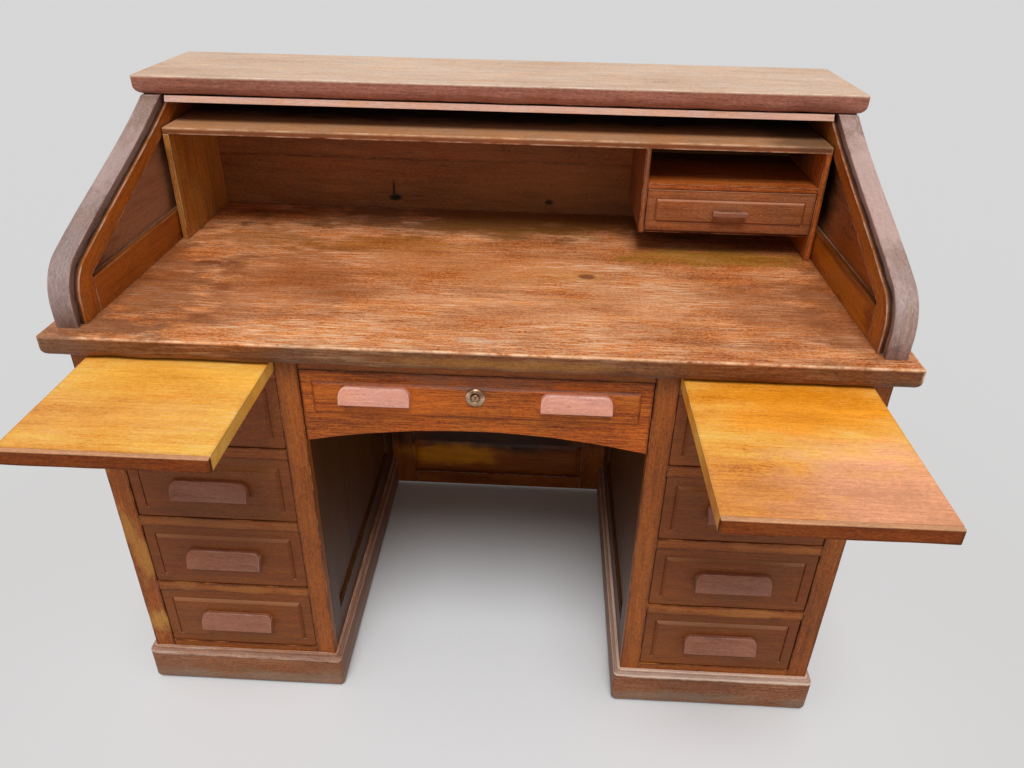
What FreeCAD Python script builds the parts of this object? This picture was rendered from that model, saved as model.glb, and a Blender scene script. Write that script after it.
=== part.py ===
import FreeCAD, Part

import math
import os

from FreeCAD import Vector

# Roll-top pedestal desk, in millimetres.
# X runs across the desk from its middle, Y runs back from the desktop's front edge
# while the pieces are made, and Z rises from the floor.
# save() then moves every piece back by the same step, so that the origin lies on the
# floor under the middle of the desk's outer box, with both writing slides pulled out.

# ---------------------------------------------------------------- driving dimensions
DESKTOP_WIDTH = 1340.0
DESKTOP_DEPTH = 708.0
DESKTOP_TOP = 794.0
DESKTOP_THICKNESS = 36.0
DESKTOP_EDGE_RADIUS = 14.0

CASE_FRONT = 28.0
CASE_BACK = 700.0
CASE_HALF_WIDTH = 643.0
KNEE_HALF_WIDTH = 282.0
SIDE_THICKNESS = 20.0
FRAME_THICKNESS = 20.0
STILE_WIDTH = 36.5
SIDE_STILE_WIDTH = 67.0
BACK_STILE_WIDTH = 75.0
SIDE_RAIL_HEIGHT = 57.0
PANEL_THICKNESS = 8.0
PANEL_SETBACK = 7.0

PLINTH_HEIGHT = 74.0
PLINTH_PROUD = 12.0
PLINTH_BOARD = 30.0
PLINTH_FOOT_RADIUS = 12.0
MOULDING_HEIGHT = 12.0

DRAWERS_PER_SIDE = 4
LOWEST_OPENING = 101.0
OPENING_HEIGHT = 137.0
OPENING_PITCH = 159.5
DRAWER_GAP = 1.2
DRAWER_FRONT_THICKNESS = 18.0
DRAWER_FRONT_SETBACK = 2.0
FIELD_MARGIN = 19.0
FIELD_RISE = 5.0
FIELD_BEVEL = 5.0
BOX_DEPTH = 560.0
BOX_HEIGHT = 112.0
BOX_BOARD = 12.0
BOX_BOTTOM = 6.0
BOX_SIDE_GAP = 3.0
RUNNER_WIDTH = 34.0
RUNNER_HEIGHT = 20.0
GUIDE_HEIGHT = 24.0
SLIDING_GAP = 0.6

PULL_LENGTH = 134.0
PULL_HEIGHT = 35.0
PULL_REACH = 18.0
PULL_CORNER = 13.0
PULL_RIM = 6.0
PULL_CROWN = 1.5
PULL_LIP = 6.0
PULL_RECESS_DEPTH = 13.0
PULL_RAISE = 4.2
CENTRE_PULL_LENGTH = 113.0
CENTRE_PULL_HEIGHT = 27.5
CENTRE_PULL_SPREAD = 160.3
CENTRE_PULL_FOOT = 685.3

CENTRE_FRONT_TOP = 736.5
CENTRE_FRONT_FOOT = 599.5
ARCH_RISE = 31.0
CENTRE_FIELD_FOOT = 658.0
CENTRE_BOX_FOOT = 634.0
CENTRE_BOX_HEIGHT = 88.0
CENTRE_BOX_DEPTH = 480.0
KNEE_RAIL_DEPTH = 40.0

LOCK_HEIGHT = 700.0
ROSETTE_RADIUS = 16.5
ROSETTE_THICKNESS = 4.0
BARREL_RADIUS = 9.5
PLUG_RADIUS = 6.0
LOCK_CASE_WIDTH = 46.0
LOCK_CASE_DEPTH = 14.0
BOLT_WIDTH = 18.0
BOLT_THICKNESS = 6.0
BOLT_HEIGHT = 26.0
BOLT_THROW = 8.0
RUNNING_GAP = 0.4

SLIDE_THICKNESS = 23.0
SLIDE_HEADROOM = 2.9
SLIDE_LENGTH = 560.0
SLIDE_LIPPING = 8.0
LEFT_SLIDE_REACH = 267.5
RIGHT_SLIDE_REACH = 340.0

ROLL_OUTER_HALF = 652.0
ROLL_THICKNESS = 40.0
ROLL_STRAIGHT_FOOT = 35.0
ROLL_BEND_RADIUS = 80.0
ROLL_SLOPE = math.radians(22.5)
ROLL_RAIL_WIDTH = 48.0
ROLL_STILE_WIDTH = 66.0
ROLL_BOTTOM_RAIL = 57.0
ROLL_TOP_RAIL = 60.0
ROLL_BACK_STILE = 60.0
ROLL_PANEL_THICKNESS = 16.0

GROOVE_LIP = 5.5
GROOVE_WIDTH = 12.0
GROOVE_DEPTH = 10.0

DECK_WIDTH = 1330.0
DECK_FRONT = 452.0
DECK_BACK = 722.0
DECK_UNDERSIDE = 1058.0
DECK_THICKNESS = 35.0
DECK_EDGE_RADIUS = 18.0

SLAT_THICKNESS = 11.0
SLAT_PITCH = 23.0
SLAT_GAP = 1.0
SLAT_CROWN = 3.5
MOVING_SLATS = 6
LEAD_RAIL_WIDTH = 40.0
BEAD_SIZE = 12.0
BEAD_ROUND = 4.0
CURTAIN_END_GAP = 1.5
CURTAIN_HEIGHT = 1049.0
REAR_BEND_RADIUS = 30.0
REAR_RUN = 680.0

PIGEONHOLE_FRONT = 418.0
PIGEONHOLE_BACK = 641.0
PIGEONHOLE_HALF_WIDTH = 609.0
PIGEONHOLE_BOARD = 11.0
PIGEONHOLE_UNDERSIDE = 997.0
PIGEONHOLE_TOP_BOARD = 12.0
PIGEONHOLE_BACK_BOARD = 8.0
DIVIDER_LEFT = 277.0
DIVIDER_THICKNESS = 10.0
SHELF_UNDERSIDE = 924.0
SHELF_THICKNESS = 10.0
SMALL_FLOOR_TOP = 845.0
SMALL_FLOOR_THICKNESS = 6.0
SMALL_FRONT_THICKNESS = 12.0
SMALL_FIELD_MARGIN = 17.0
SMALL_FIELD_RISE = 3.0
SMALL_BOX_DEPTH = 185.0
SMALL_BOX_HEIGHT = 62.0
SMALL_BOX_BOARD = 7.0
SMALL_BOX_BOTTOM = 4.0
SMALL_HANDLE_LENGTH = 64.0
SMALL_HANDLE_HEIGHT = 10.0
SMALL_HANDLE_REACH = 14.0
SMALL_HANDLE_FOOT = 12.0
SMALL_HANDLE_GRIP = 6.0

MODESTY_THICKNESS = 12.0
MODESTY_FOOT = 6.0
MODESTY_STILE = 60.0
MODESTY_BOTTOM_RAIL = 39.0
MODESTY_MIDDLE_RAIL = (145.0, 209.0)
MODESTY_TOP_RAIL = 60.0
BACK_RAIL_HEIGHT = 55.0
UPPER_BACK_STILE = 60.0
UPPER_BACK_BAYS = 3

# ---------------------------------------------------------------- derived dimensions
DESKTOP_UNDERSIDE = DESKTOP_TOP - DESKTOP_THICKNESS
ROLL_INNER_HALF = ROLL_OUTER_HALF - ROLL_THICKNESS
FRAME_BACK = CASE_FRONT + FRAME_THICKNESS
OPENING_LEFT = KNEE_HALF_WIDTH + STILE_WIDTH
OPENING_RIGHT = CASE_HALF_WIDTH - STILE_WIDTH
OPENING_CENTRE = (OPENING_LEFT + OPENING_RIGHT) / 2
TOP_RAIL_FOOT = LOWEST_OPENING + (DRAWERS_PER_SIDE - 1) * OPENING_PITCH + OPENING_HEIGHT
SLIDE_FOOT = DESKTOP_UNDERSIDE - SLIDE_HEADROOM - SLIDE_THICKNESS
TOP_RAIL_TOP = SLIDE_FOOT - SLIDING_GAP
CENTRE_Y = (DECK_BACK + CASE_FRONT - RIGHT_SLIDE_REACH) / 2
DECK_TOP = DECK_UNDERSIDE + DECK_THICKNESS
BEND_START = DESKTOP_TOP + ROLL_STRAIGHT_FOOT
BEND_TURN = math.pi / 2 - ROLL_SLOPE
PANEL_TONGUE = (ROLL_THICKNESS - ROLL_PANEL_THICKNESS) / 2


# ---------------------------------------------------------------- shared helpers
def box(x0, x1, y0, y1, z0, z1):
    return Part.makeBox(x1 - x0, y1 - y0, z1 - z0, Vector(x0, y0, z0))


def prism(points, direction):
    """A straight-sided solid on a closed outline."""
    wire = Part.makePolygon(points + points[:1])
    return Part.Face(wire).extrude(direction)


def solid_from_edges(edges, direction):
    wire = Part.Wire(edges)
    return Part.Face(wire).extrude(direction)


def line(a, b):
    return Part.LineSegment(a, b).toShape()


def arc(a, middle, b):
    return Part.Arc(a, middle, b).toShape()


def polar_yz(x, centre_y, centre_z, radius, angle):
    """A point on a circle in the plane of a side, with angle 0 towards the back."""
    return Vector(x, centre_y + radius * math.cos(angle), centre_z + radius * math.sin(angle))


def mirrored(solids):
    return [solid.mirror(Vector(0, 0, 0), Vector(1, 0, 0)) for solid in solids]


def save(name, solids):
    shape = Part.makeCompound(solids)
    shape.translate(Vector(0, -CENTRE_Y, 0))
    shape.exportStep(f"parts/{name}.step")


def both_sides(name, solids):
    """A right-hand piece and its mirror image on the left."""
    save(f"right_{name}", solids)
    save(f"left_{name}", mirrored(solids))


# ---------------------------------------------------------------- desktop and deck
def moulded_board(half_width, front, back, underside, top, radius):
    """A thick board, rounded under its front and ends."""
    board = box(-half_width, half_width, front, back, underside, top)
    lower = [edge for edge in board.Edges if edge.BoundBox.ZMax < underside + 1]
    rounded = [edge for edge in lower if edge.BoundBox.YMin < back - 1]
    return board.makeFillet(radius, rounded)


def desktop():
    return moulded_board(DESKTOP_WIDTH / 2, 0, DESKTOP_DEPTH, DESKTOP_UNDERSIDE, DESKTOP_TOP,
                         DESKTOP_EDGE_RADIUS)


def top_deck():
    return moulded_board(DECK_WIDTH / 2, DECK_FRONT, DECK_BACK, DECK_UNDERSIDE, DECK_TOP,
                         DECK_EDGE_RADIUS)


# ---------------------------------------------------------------- pedestals
def opening_foot(row):
    """Underside of a drawer opening, with row 1 at the top."""
    return LOWEST_OPENING + (DRAWERS_PER_SIDE - row) * OPENING_PITCH


def framed_side(outer, direction):
    """Frame and panel side of a pedestal, its outer face at x = outer.

    direction is +1 where the face looks towards +X, and -1 where it looks towards -X.
    """
    inner = outer - direction * SIDE_THICKNESS
    x0, x1 = sorted((outer, inner))
    panel_outer = outer - direction * PANEL_SETBACK
    p0, p1 = sorted((panel_outer, panel_outer - direction * PANEL_THICKNESS))
    stile_back = CASE_FRONT + SIDE_STILE_WIDTH
    rear_stile = CASE_BACK - BACK_STILE_WIDTH
    rail_top = PLINTH_HEIGHT + MOULDING_HEIGHT + SIDE_RAIL_HEIGHT
    head_rail = DESKTOP_UNDERSIDE - SIDE_RAIL_HEIGHT
    return [
        box(x0, x1, FRAME_BACK, stile_back, PLINTH_HEIGHT, DESKTOP_UNDERSIDE),
        box(x0, x1, rear_stile, CASE_BACK, PLINTH_HEIGHT, DESKTOP_UNDERSIDE),
        box(x0, x1, stile_back, rear_stile, PLINTH_HEIGHT, rail_top),
        box(x0, x1, stile_back, rear_stile, head_rail, DESKTOP_UNDERSIDE),
        box(p0, p1, stile_back, rear_stile, rail_top, head_rail),
    ]


def face_frame():
    """Two stiles, and the rails above, between and below the drawers."""
    solids = [
        box(KNEE_HALF_WIDTH, OPENING_LEFT, CASE_FRONT, FRAME_BACK, PLINTH_HEIGHT, DESKTOP_UNDERSIDE),
        box(OPENING_RIGHT, CASE_HALF_WIDTH, CASE_FRONT, FRAME_BACK, PLINTH_HEIGHT, DESKTOP_UNDERSIDE),
        box(OPENING_LEFT, OPENING_RIGHT, CASE_FRONT, FRAME_BACK, PLINTH_HEIGHT, LOWEST_OPENING),
        box(OPENING_LEFT, OPENING_RIGHT, CASE_FRONT, FRAME_BACK, TOP_RAIL_FOOT, TOP_RAIL_TOP),
    ]
    for row in range(1, DRAWERS_PER_SIDE):
        rail_top = opening_foot(row)
        rail_foot = opening_foot(row + 1) + OPENING_HEIGHT
        solids.append(box(OPENING_LEFT, OPENING_RIGHT, CASE_FRONT, FRAME_BACK, rail_foot, rail_top))
    return solids


def pedestal_back():
    """Frame and panel back between the two sides of a pedestal."""
    left = KNEE_HALF_WIDTH + SIDE_THICKNESS
    right = CASE_HALF_WIDTH - SIDE_THICKNESS
    front = CASE_BACK - FRAME_THICKNESS
    inner_left = left + BACK_RAIL_HEIGHT
    inner_right = right - BACK_RAIL_HEIGHT
    rail_top = PLINTH_HEIGHT + MOULDING_HEIGHT + BACK_RAIL_HEIGHT
    head_rail = DESKTOP_UNDERSIDE - BACK_RAIL_HEIGHT
    panel_front = CASE_BACK - PANEL_SETBACK - PANEL_THICKNESS
    return [
        box(left, inner_left, front, CASE_BACK, PLINTH_HEIGHT, DESKTOP_UNDERSIDE),
        box(inner_right, right, front, CASE_BACK, PLINTH_HEIGHT, DESKTOP_UNDERSIDE),
        box(inner_left, inner_right, front, CASE_BACK, PLINTH_HEIGHT, rail_top),
        box(inner_left, inner_right, front, CASE_BACK, head_rail, DESKTOP_UNDERSIDE),
        box(inner_left, inner_right, panel_front, panel_front + PANEL_THICKNESS, rail_top, head_rail),
    ]


def runner_pair(front, back, foot):
    """Runners under a drawer's sides, and the guides that keep it straight."""
    left = KNEE_HALF_WIDTH + SIDE_THICKNESS
    right = CASE_HALF_WIDTH - SIDE_THICKNESS
    top = foot + RUNNER_HEIGHT
    solids = []
    for inner, outer, guide in ((left, left + RUNNER_WIDTH, OPENING_LEFT),
                                (right, right - RUNNER_WIDTH, OPENING_RIGHT)):
        x0, x1 = sorted((inner, outer))
        g0, g1 = sorted((inner, guide))
        solids.append(box(x0, x1, front, back, foot, top))
        solids.append(box(g0, g1, front, back, top, top + GUIDE_HEIGHT))
    return solids


def runners():
    """Runners for the four drawers and, topmost, for the writing slide."""
    back = CASE_BACK - FRAME_THICKNESS
    solids = []
    for row in range(1, DRAWERS_PER_SIDE + 1):
        solids += runner_pair(FRAME_BACK, back, opening_foot(row) - RUNNER_HEIGHT)
    slide_runners = runner_pair(FRAME_BACK, back, TOP_RAIL_TOP - RUNNER_HEIGHT)
    return solids + [solid for solid in slide_runners if solid.BoundBox.ZMax < TOP_RAIL_TOP + 1]


def plinth_outline():
    """Section of a base board, as distance outwards from the case and height."""
    out = PLINTH_PROUD
    inner = out - PLINTH_BOARD
    turn = PLINTH_FOOT_RADIUS * (1 - math.sqrt(0.5))
    return {
        "lines": [((inner, 0), (out - PLINTH_FOOT_RADIUS, 0)),
                  ((out, PLINTH_FOOT_RADIUS), (out, PLINTH_HEIGHT)),
                  ((out, PLINTH_HEIGHT), (inner, PLINTH_HEIGHT)),
                  ((inner, PLINTH_HEIGHT), (inner, 0))],
        "arc": ((out - PLINTH_FOOT_RADIUS, 0), (out - turn, turn), (out, PLINTH_FOOT_RADIUS)),
    }


def moulding_outline():
    """Section of the ovolo strip on top of a base board, in the same terms."""
    out = PLINTH_PROUD
    top = PLINTH_HEIGHT + MOULDING_HEIGHT
    shoulder = PLINTH_HEIGHT + MOULDING_HEIGHT / 4
    rim = out / 4
    middle = (rim + (out - rim) * math.sqrt(0.5), shoulder + (top - shoulder) * math.sqrt(0.5))
    return {
        "lines": [((0, PLINTH_HEIGHT), (out, PLINTH_HEIGHT)),
                  ((out, PLINTH_HEIGHT), (out, shoulder)),
                  ((rim, top), (0, top)),
                  ((0, top), (0, PLINTH_HEIGHT))],
        "arc": ((out, shoulder), middle, (rim, top)),
    }


def swept_outline(outline, place, direction):
    """An outline's solid, with place() giving the 3-D point of each outline point."""
    edges = [line(place(*a), place(*b)) for a, b in outline["lines"]]
    edges.append(arc(*[place(*point) for point in outline["arc"]]))
    return solid_from_edges(Part.__sortEdges__(edges), direction)


def mitred_surround(outline, depth):
    """A section carried round the front and both sides of a pedestal, mitred in front.

    The kneehole length is notched at its end for the modesty panel.
    """
    out = PLINTH_PROUD
    knee, outer = KNEE_HALF_WIDTH - out, CASE_HALF_WIDTH + out
    front = CASE_FRONT - out
    top = PLINTH_HEIGHT + MOULDING_HEIGHT
    along_x = Vector(outer - knee, 0, 0)
    along_y = Vector(0, CASE_BACK - front, 0)
    up = Vector(0, 0, top)
    front_bar = swept_outline(outline, lambda u, z: Vector(knee, CASE_FRONT - u, z), along_x)
    knee_bar = swept_outline(outline, lambda u, z: Vector(KNEE_HALF_WIDTH - u, front, z), along_y)
    outer_bar = swept_outline(outline, lambda u, z: Vector(CASE_HALF_WIDTH + u, front, z), along_y)
    front_region = prism([Vector(knee, front, 0), Vector(outer, front, 0),
                          Vector(outer - depth, front + depth, 0),
                          Vector(knee + depth, front + depth, 0)], up)
    knee_region = prism([Vector(knee, front, 0), Vector(knee + depth, front + depth, 0),
                         Vector(knee + depth, CASE_BACK, 0), Vector(knee, CASE_BACK, 0)], up)
    outer_region = prism([Vector(outer, front, 0), Vector(outer, CASE_BACK, 0),
                          Vector(outer - depth, CASE_BACK, 0),
                          Vector(outer - depth, front + depth, 0)], up)
    pairs = ((front_bar, front_region), (knee_bar, knee_region), (outer_bar, outer_region))
    notch = box(knee, KNEE_HALF_WIDTH, CASE_BACK - MODESTY_THICKNESS, CASE_BACK, 0, top)
    return [bar.common(region).cut(notch).Solids[0] for bar, region in pairs]


def plinth():
    """Base boards on the floor, with the ovolo strip that hides their joint with the case."""
    inset = PLINTH_BOARD - PLINTH_PROUD
    back_board = box(KNEE_HALF_WIDTH + inset, CASE_HALF_WIDTH - inset,
                     CASE_BACK - PLINTH_BOARD, CASE_BACK, 0, PLINTH_HEIGHT)
    boards = mitred_surround(plinth_outline(), PLINTH_BOARD)
    strips = mitred_surround(moulding_outline(), PLINTH_PROUD)
    return boards + [back_board] + strips


# ---------------------------------------------------------------- drawers
def raised_field(x0, x1, z0, z1, face, rise):
    """The bevelled raised field on a drawer front whose margin lies at y = face."""
    def ring(inset, depth):
        y = face - depth
        corners = [Vector(x0 + inset, y, z0 + inset), Vector(x1 - inset, y, z0 + inset),
                   Vector(x1 - inset, y, z1 - inset), Vector(x0 + inset, y, z1 - inset)]
        return Part.makePolygon(corners + corners[:1])
    return Part.makeLoft([ring(0, 0), ring(min(FIELD_BEVEL, rise), rise)], True)


def finger_pull(centre, face, foot, length, height):
    """A carved block: its face slopes out from the rim to a lip, hollowed underneath."""
    top = foot + height
    rim, tip = face - PULL_RIM, face - PULL_REACH
    left, right = centre - length / 2, centre + length / 2
    crown = arc(Vector(left, rim, top),
                Vector(left, (rim + tip) / 2 - PULL_CROWN, (top + foot + PULL_LIP / 2) / 2),
                Vector(left, tip, foot + PULL_LIP / 2))
    section = [line(Vector(left, face, foot), Vector(left, face, top)),
               line(Vector(left, face, top), Vector(left, rim, top)),
               crown,
               line(Vector(left, tip, foot + PULL_LIP / 2), Vector(left, tip, foot)),
               line(Vector(left, tip, foot), Vector(left, face, foot))]
    block = solid_from_edges(section, Vector(length, 0, 0))
    drop = top - PULL_CORNER
    bend = PULL_CORNER * (1 - math.sqrt(0.5))
    back = Vector(0, -PULL_REACH, 0)
    shield = solid_from_edges([
        line(Vector(left, face, foot), Vector(left, face, drop)),
        arc(Vector(left, face, drop), Vector(left + bend, face, top - bend),
            Vector(left + PULL_CORNER, face, top)),
        line(Vector(left + PULL_CORNER, face, top), Vector(right - PULL_CORNER, face, top)),
        arc(Vector(right - PULL_CORNER, face, top), Vector(right - bend, face, top - bend),
            Vector(right, face, drop)),
        line(Vector(right, face, drop), Vector(right, face, foot)),
        line(Vector(right, face, foot), Vector(left, face, foot)),
    ], back)
    recess = box(left + PULL_LIP, right - PULL_LIP, tip + PULL_LIP, face - PULL_RIM / 2,
                 foot - 1, foot + PULL_RECESS_DEPTH)
    return block.common(shield).cut(recess).Solids[0]


def drawer_box(x0, x1, front, depth, foot, height, board, bottom):
    """Two sides, a back and a bottom, open at the top; the drawer front closes it."""
    back = front + depth
    floor = foot + board / 2
    return [
        box(x0, x0 + board, front, back, foot, foot + height),
        box(x1 - board, x1, front, back, foot, foot + height),
        box(x0 + board, x1 - board, back - board, back, foot, foot + height),
        box(x0 + board, x1 - board, front, back - board, floor, floor + bottom),
    ]


def pedestal_drawer_front(row):
    foot = opening_foot(row) + DRAWER_GAP
    top = foot + OPENING_HEIGHT - 2 * DRAWER_GAP
    left, right = OPENING_LEFT + DRAWER_GAP, OPENING_RIGHT - DRAWER_GAP
    margin_face = CASE_FRONT + DRAWER_FRONT_SETBACK
    field = raised_field(left + FIELD_MARGIN, right - FIELD_MARGIN, foot + FIELD_MARGIN,
                         top - FIELD_MARGIN, margin_face, FIELD_RISE)
    board = box(left, right, margin_face, FRAME_BACK, foot, top).fuse(field).removeSplitter()
    pull_foot = (foot + top - PULL_HEIGHT) / 2 + PULL_RAISE
    pull = finger_pull(OPENING_CENTRE, margin_face - FIELD_RISE, pull_foot, PULL_LENGTH, PULL_HEIGHT)
    return [board.Solids[0], pull]


def pedestal_drawer_box(row):
    foot = opening_foot(row) + SLIDING_GAP
    return drawer_box(OPENING_LEFT + BOX_SIDE_GAP, OPENING_RIGHT - BOX_SIDE_GAP, FRAME_BACK,
                      BOX_DEPTH, foot, BOX_HEIGHT, BOX_BOARD, BOX_BOTTOM)


def centre_drawer_front():
    """The kneehole drawer's front, arched along its lower edge, bored for the lock."""
    half = KNEE_HALF_WIDTH - DRAWER_GAP
    foot, top = CENTRE_FRONT_FOOT, CENTRE_FRONT_TOP - DRAWER_GAP
    face = CASE_FRONT + DRAWER_FRONT_SETBACK
    edges = [line(Vector(-half, face, top), Vector(-half, face, foot)),
             arc(Vector(-half, face, foot), Vector(0, face, foot + ARCH_RISE), Vector(half, face, foot)),
             line(Vector(half, face, foot), Vector(half, face, top)),
             line(Vector(half, face, top), Vector(-half, face, top))]
    board = solid_from_edges(edges, Vector(0, FRAME_BACK - face, 0))
    field_half = half - FIELD_MARGIN + DRAWER_GAP
    field = raised_field(-field_half, field_half, CENTRE_FIELD_FOOT, top - FIELD_MARGIN + DRAWER_GAP,
                         face, FIELD_RISE)
    bore = Part.makeCylinder(BARREL_RADIUS, FRAME_THICKNESS * 2,
                             Vector(0, face - FIELD_RISE, LOCK_HEIGHT), Vector(0, 1, 0))
    return [board.fuse(field).removeSplitter().cut(bore).Solids[0]]


def centre_drawer_pulls():
    face = CASE_FRONT + DRAWER_FRONT_SETBACK - FIELD_RISE
    return [finger_pull(side * CENTRE_PULL_SPREAD, face, CENTRE_PULL_FOOT, CENTRE_PULL_LENGTH,
                        CENTRE_PULL_HEIGHT) for side in (-1, 1)]


def centre_drawer_box():
    half = KNEE_HALF_WIDTH - BOX_SIDE_GAP
    return drawer_box(-half, half, FRAME_BACK, CENTRE_BOX_DEPTH, CENTRE_BOX_FOOT, CENTRE_BOX_HEIGHT,
                      BOX_BOARD, BOX_BOTTOM)


def centre_drawer_runners():
    """Runners on the kneehole faces of both pedestals, under the centre drawer's sides."""
    top = CENTRE_BOX_FOOT - SLIDING_GAP
    back = FRAME_BACK + CENTRE_BOX_DEPTH
    right = box(KNEE_HALF_WIDTH - RUNNER_WIDTH, KNEE_HALF_WIDTH, FRAME_BACK, back,
                top - RUNNER_HEIGHT, top)
    return [right] + mirrored([right])


def bolt_place():
    """Front face of the bolt, behind the drawer front."""
    return FRAME_BACK + (LOCK_CASE_DEPTH - BOLT_THICKNESS) / 2


def kneehole_rail():
    """Rail under the desktop, above the centre drawer, with the mortise for the bolt."""
    front = CASE_FRONT + DRAWER_FRONT_SETBACK
    rail = box(-KNEE_HALF_WIDTH, KNEE_HALF_WIDTH, front, front + KNEE_RAIL_DEPTH,
               CENTRE_FRONT_TOP, DESKTOP_UNDERSIDE)
    gap = 3 * RUNNING_GAP
    mortise = box(-BOLT_WIDTH / 2 - gap, BOLT_WIDTH / 2 + gap, bolt_place() - gap,
                  bolt_place() + BOLT_THICKNESS + gap, CENTRE_FRONT_TOP - 1,
                  CENTRE_FRONT_TOP + BOLT_THROW + gap)
    return [rail.cut(mortise)]


# ---------------------------------------------------------------- lock
def along_y(radius, front, back):
    return Part.makeCylinder(radius, back - front, Vector(0, front, LOCK_HEIGHT), Vector(0, 1, 0))


def lock_housing():
    """Rosette, barrel and case as one casting, with a bore for the plug and a slot for the bolt."""
    face = CASE_FRONT + DRAWER_FRONT_SETBACK - FIELD_RISE
    case_top = CENTRE_FRONT_TOP - DRAWER_GAP
    rosette = along_y(ROSETTE_RADIUS, face - ROSETTE_THICKNESS, face)
    rim = [edge for edge in rosette.Edges if edge.BoundBox.YMax < face - ROSETTE_THICKNESS / 2]
    rosette = rosette.makeFillet(ROSETTE_THICKNESS / 2, rim)
    barrel = along_y(BARREL_RADIUS, face, FRAME_BACK)
    case = box(-LOCK_CASE_WIDTH / 2, LOCK_CASE_WIDTH / 2, FRAME_BACK, FRAME_BACK + LOCK_CASE_DEPTH,
               LOCK_HEIGHT - LOCK_CASE_WIDTH / 3, case_top)
    slot = box(-BOLT_WIDTH / 2 - RUNNING_GAP, BOLT_WIDTH / 2 + RUNNING_GAP,
               bolt_place() - RUNNING_GAP, bolt_place() + BOLT_THICKNESS + RUNNING_GAP,
               case_top - BOLT_HEIGHT - RUNNING_GAP, case_top + 1)
    bore = along_y(PLUG_RADIUS + RUNNING_GAP, face - ROSETTE_THICKNESS, FRAME_BACK)
    return [rosette.fuse(barrel).fuse(case).cut(slot).cut(bore).removeSplitter().Solids[0]]


def lock_plug():
    """The part of the lock that the key turns, with its keyhole."""
    face = CASE_FRONT + DRAWER_FRONT_SETBACK - FIELD_RISE
    plug = along_y(PLUG_RADIUS, face - ROSETTE_THICKNESS, FRAME_BACK - RUNNING_GAP)
    keyhole = box(-PLUG_RADIUS / 6, PLUG_RADIUS / 6, face - ROSETTE_THICKNESS - 1, face + FIELD_RISE,
                  LOCK_HEIGHT - PLUG_RADIUS / 2, LOCK_HEIGHT + PLUG_RADIUS / 2)
    return [plug.cut(keyhole)]


def lock_bolt():
    top = CENTRE_FRONT_TOP - DRAWER_GAP
    return [box(-BOLT_WIDTH / 2, BOLT_WIDTH / 2, bolt_place(), bolt_place() + BOLT_THICKNESS,
                top - BOLT_HEIGHT, top)]


# ---------------------------------------------------------------- writing slides
def writing_slide(reach):
    """A pull-out board above the drawers, with a hardwood lipping on its front edge."""
    left, right = OPENING_LEFT + DRAWER_GAP, OPENING_RIGHT - DRAWER_GAP
    front = CASE_FRONT - reach
    lipping_back = front + SLIDE_LIPPING
    return [box(left, right, front, lipping_back, SLIDE_FOOT, SLIDE_FOOT + SLIDE_THICKNESS),
            box(left, right, lipping_back, front + SLIDE_LENGTH, SLIDE_FOOT,
                SLIDE_FOOT + SLIDE_THICKNESS)]


# ---------------------------------------------------------------- kneehole back
def modesty_panel():
    """Frame with two raised panels, one low and one high, closing the back of the kneehole."""
    front, half = CASE_BACK - MODESTY_THICKNESS, KNEE_HALF_WIDTH
    inner = half - MODESTY_STILE
    head = DESKTOP_UNDERSIDE - MODESTY_TOP_RAIL
    sill = MODESTY_FOOT + MODESTY_BOTTOM_RAIL
    middle_foot, middle_top = MODESTY_MIDDLE_RAIL
    panel_front = front + MODESTY_THICKNESS / 3
    return [
        box(-half, -inner, front, CASE_BACK, MODESTY_FOOT, DESKTOP_UNDERSIDE),
        box(inner, half, front, CASE_BACK, MODESTY_FOOT, DESKTOP_UNDERSIDE),
        box(-inner, inner, front, CASE_BACK, MODESTY_FOOT, sill),
        box(-inner, inner, front, CASE_BACK, middle_foot, middle_top),
        box(-inner, inner, front, CASE_BACK, head, DESKTOP_UNDERSIDE),
        box(-inner, inner, panel_front, CASE_BACK - MODESTY_THICKNESS / 6, sill, middle_foot),
        box(-inner, inner, panel_front, CASE_BACK - MODESTY_THICKNESS / 6, middle_top, head),
    ]


# ---------------------------------------------------------------- roll sides
def roll_front(x, inset, top):
    """Edges of the S-shaped front line, moved inwards by inset, from the desktop up to top."""
    radius = ROLL_BEND_RADIUS - inset
    centre_y = CASE_FRONT + ROLL_BEND_RADIUS
    foot = Vector(x, CASE_FRONT + inset, DESKTOP_TOP)
    bend = Vector(x, CASE_FRONT + inset, BEND_START)
    middle = polar_yz(x, centre_y, BEND_START, radius, math.pi - BEND_TURN / 2)
    slope = polar_yz(x, centre_y, BEND_START, radius, math.pi - BEND_TURN)
    end = Vector(x, slope.y + (top - slope.z) / math.tan(ROLL_SLOPE), top)
    return [line(foot, bend), arc(bend, middle, slope), line(slope, end)], foot, end


def slope_height(y, inset):
    """Height of the straight slope at y, measured on the line moved inwards by inset."""
    start = polar_yz(0, CASE_FRONT + ROLL_BEND_RADIUS, BEND_START, ROLL_BEND_RADIUS - inset,
                     math.pi - BEND_TURN)
    return start.z + (y - start.y) * math.tan(ROLL_SLOPE)


def slope_place(z, inset):
    """The y at which the same line reaches height z."""
    return (z - slope_height(0, inset)) / math.tan(ROLL_SLOPE)


def curtain_corner():
    """Where the middle of the groove leaves the slope and turns level under the deck."""
    return Vector(0, slope_place(CURTAIN_HEIGHT, GROOVE_LIP + GROOVE_WIDTH / 2), CURTAIN_HEIGHT)


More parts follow.
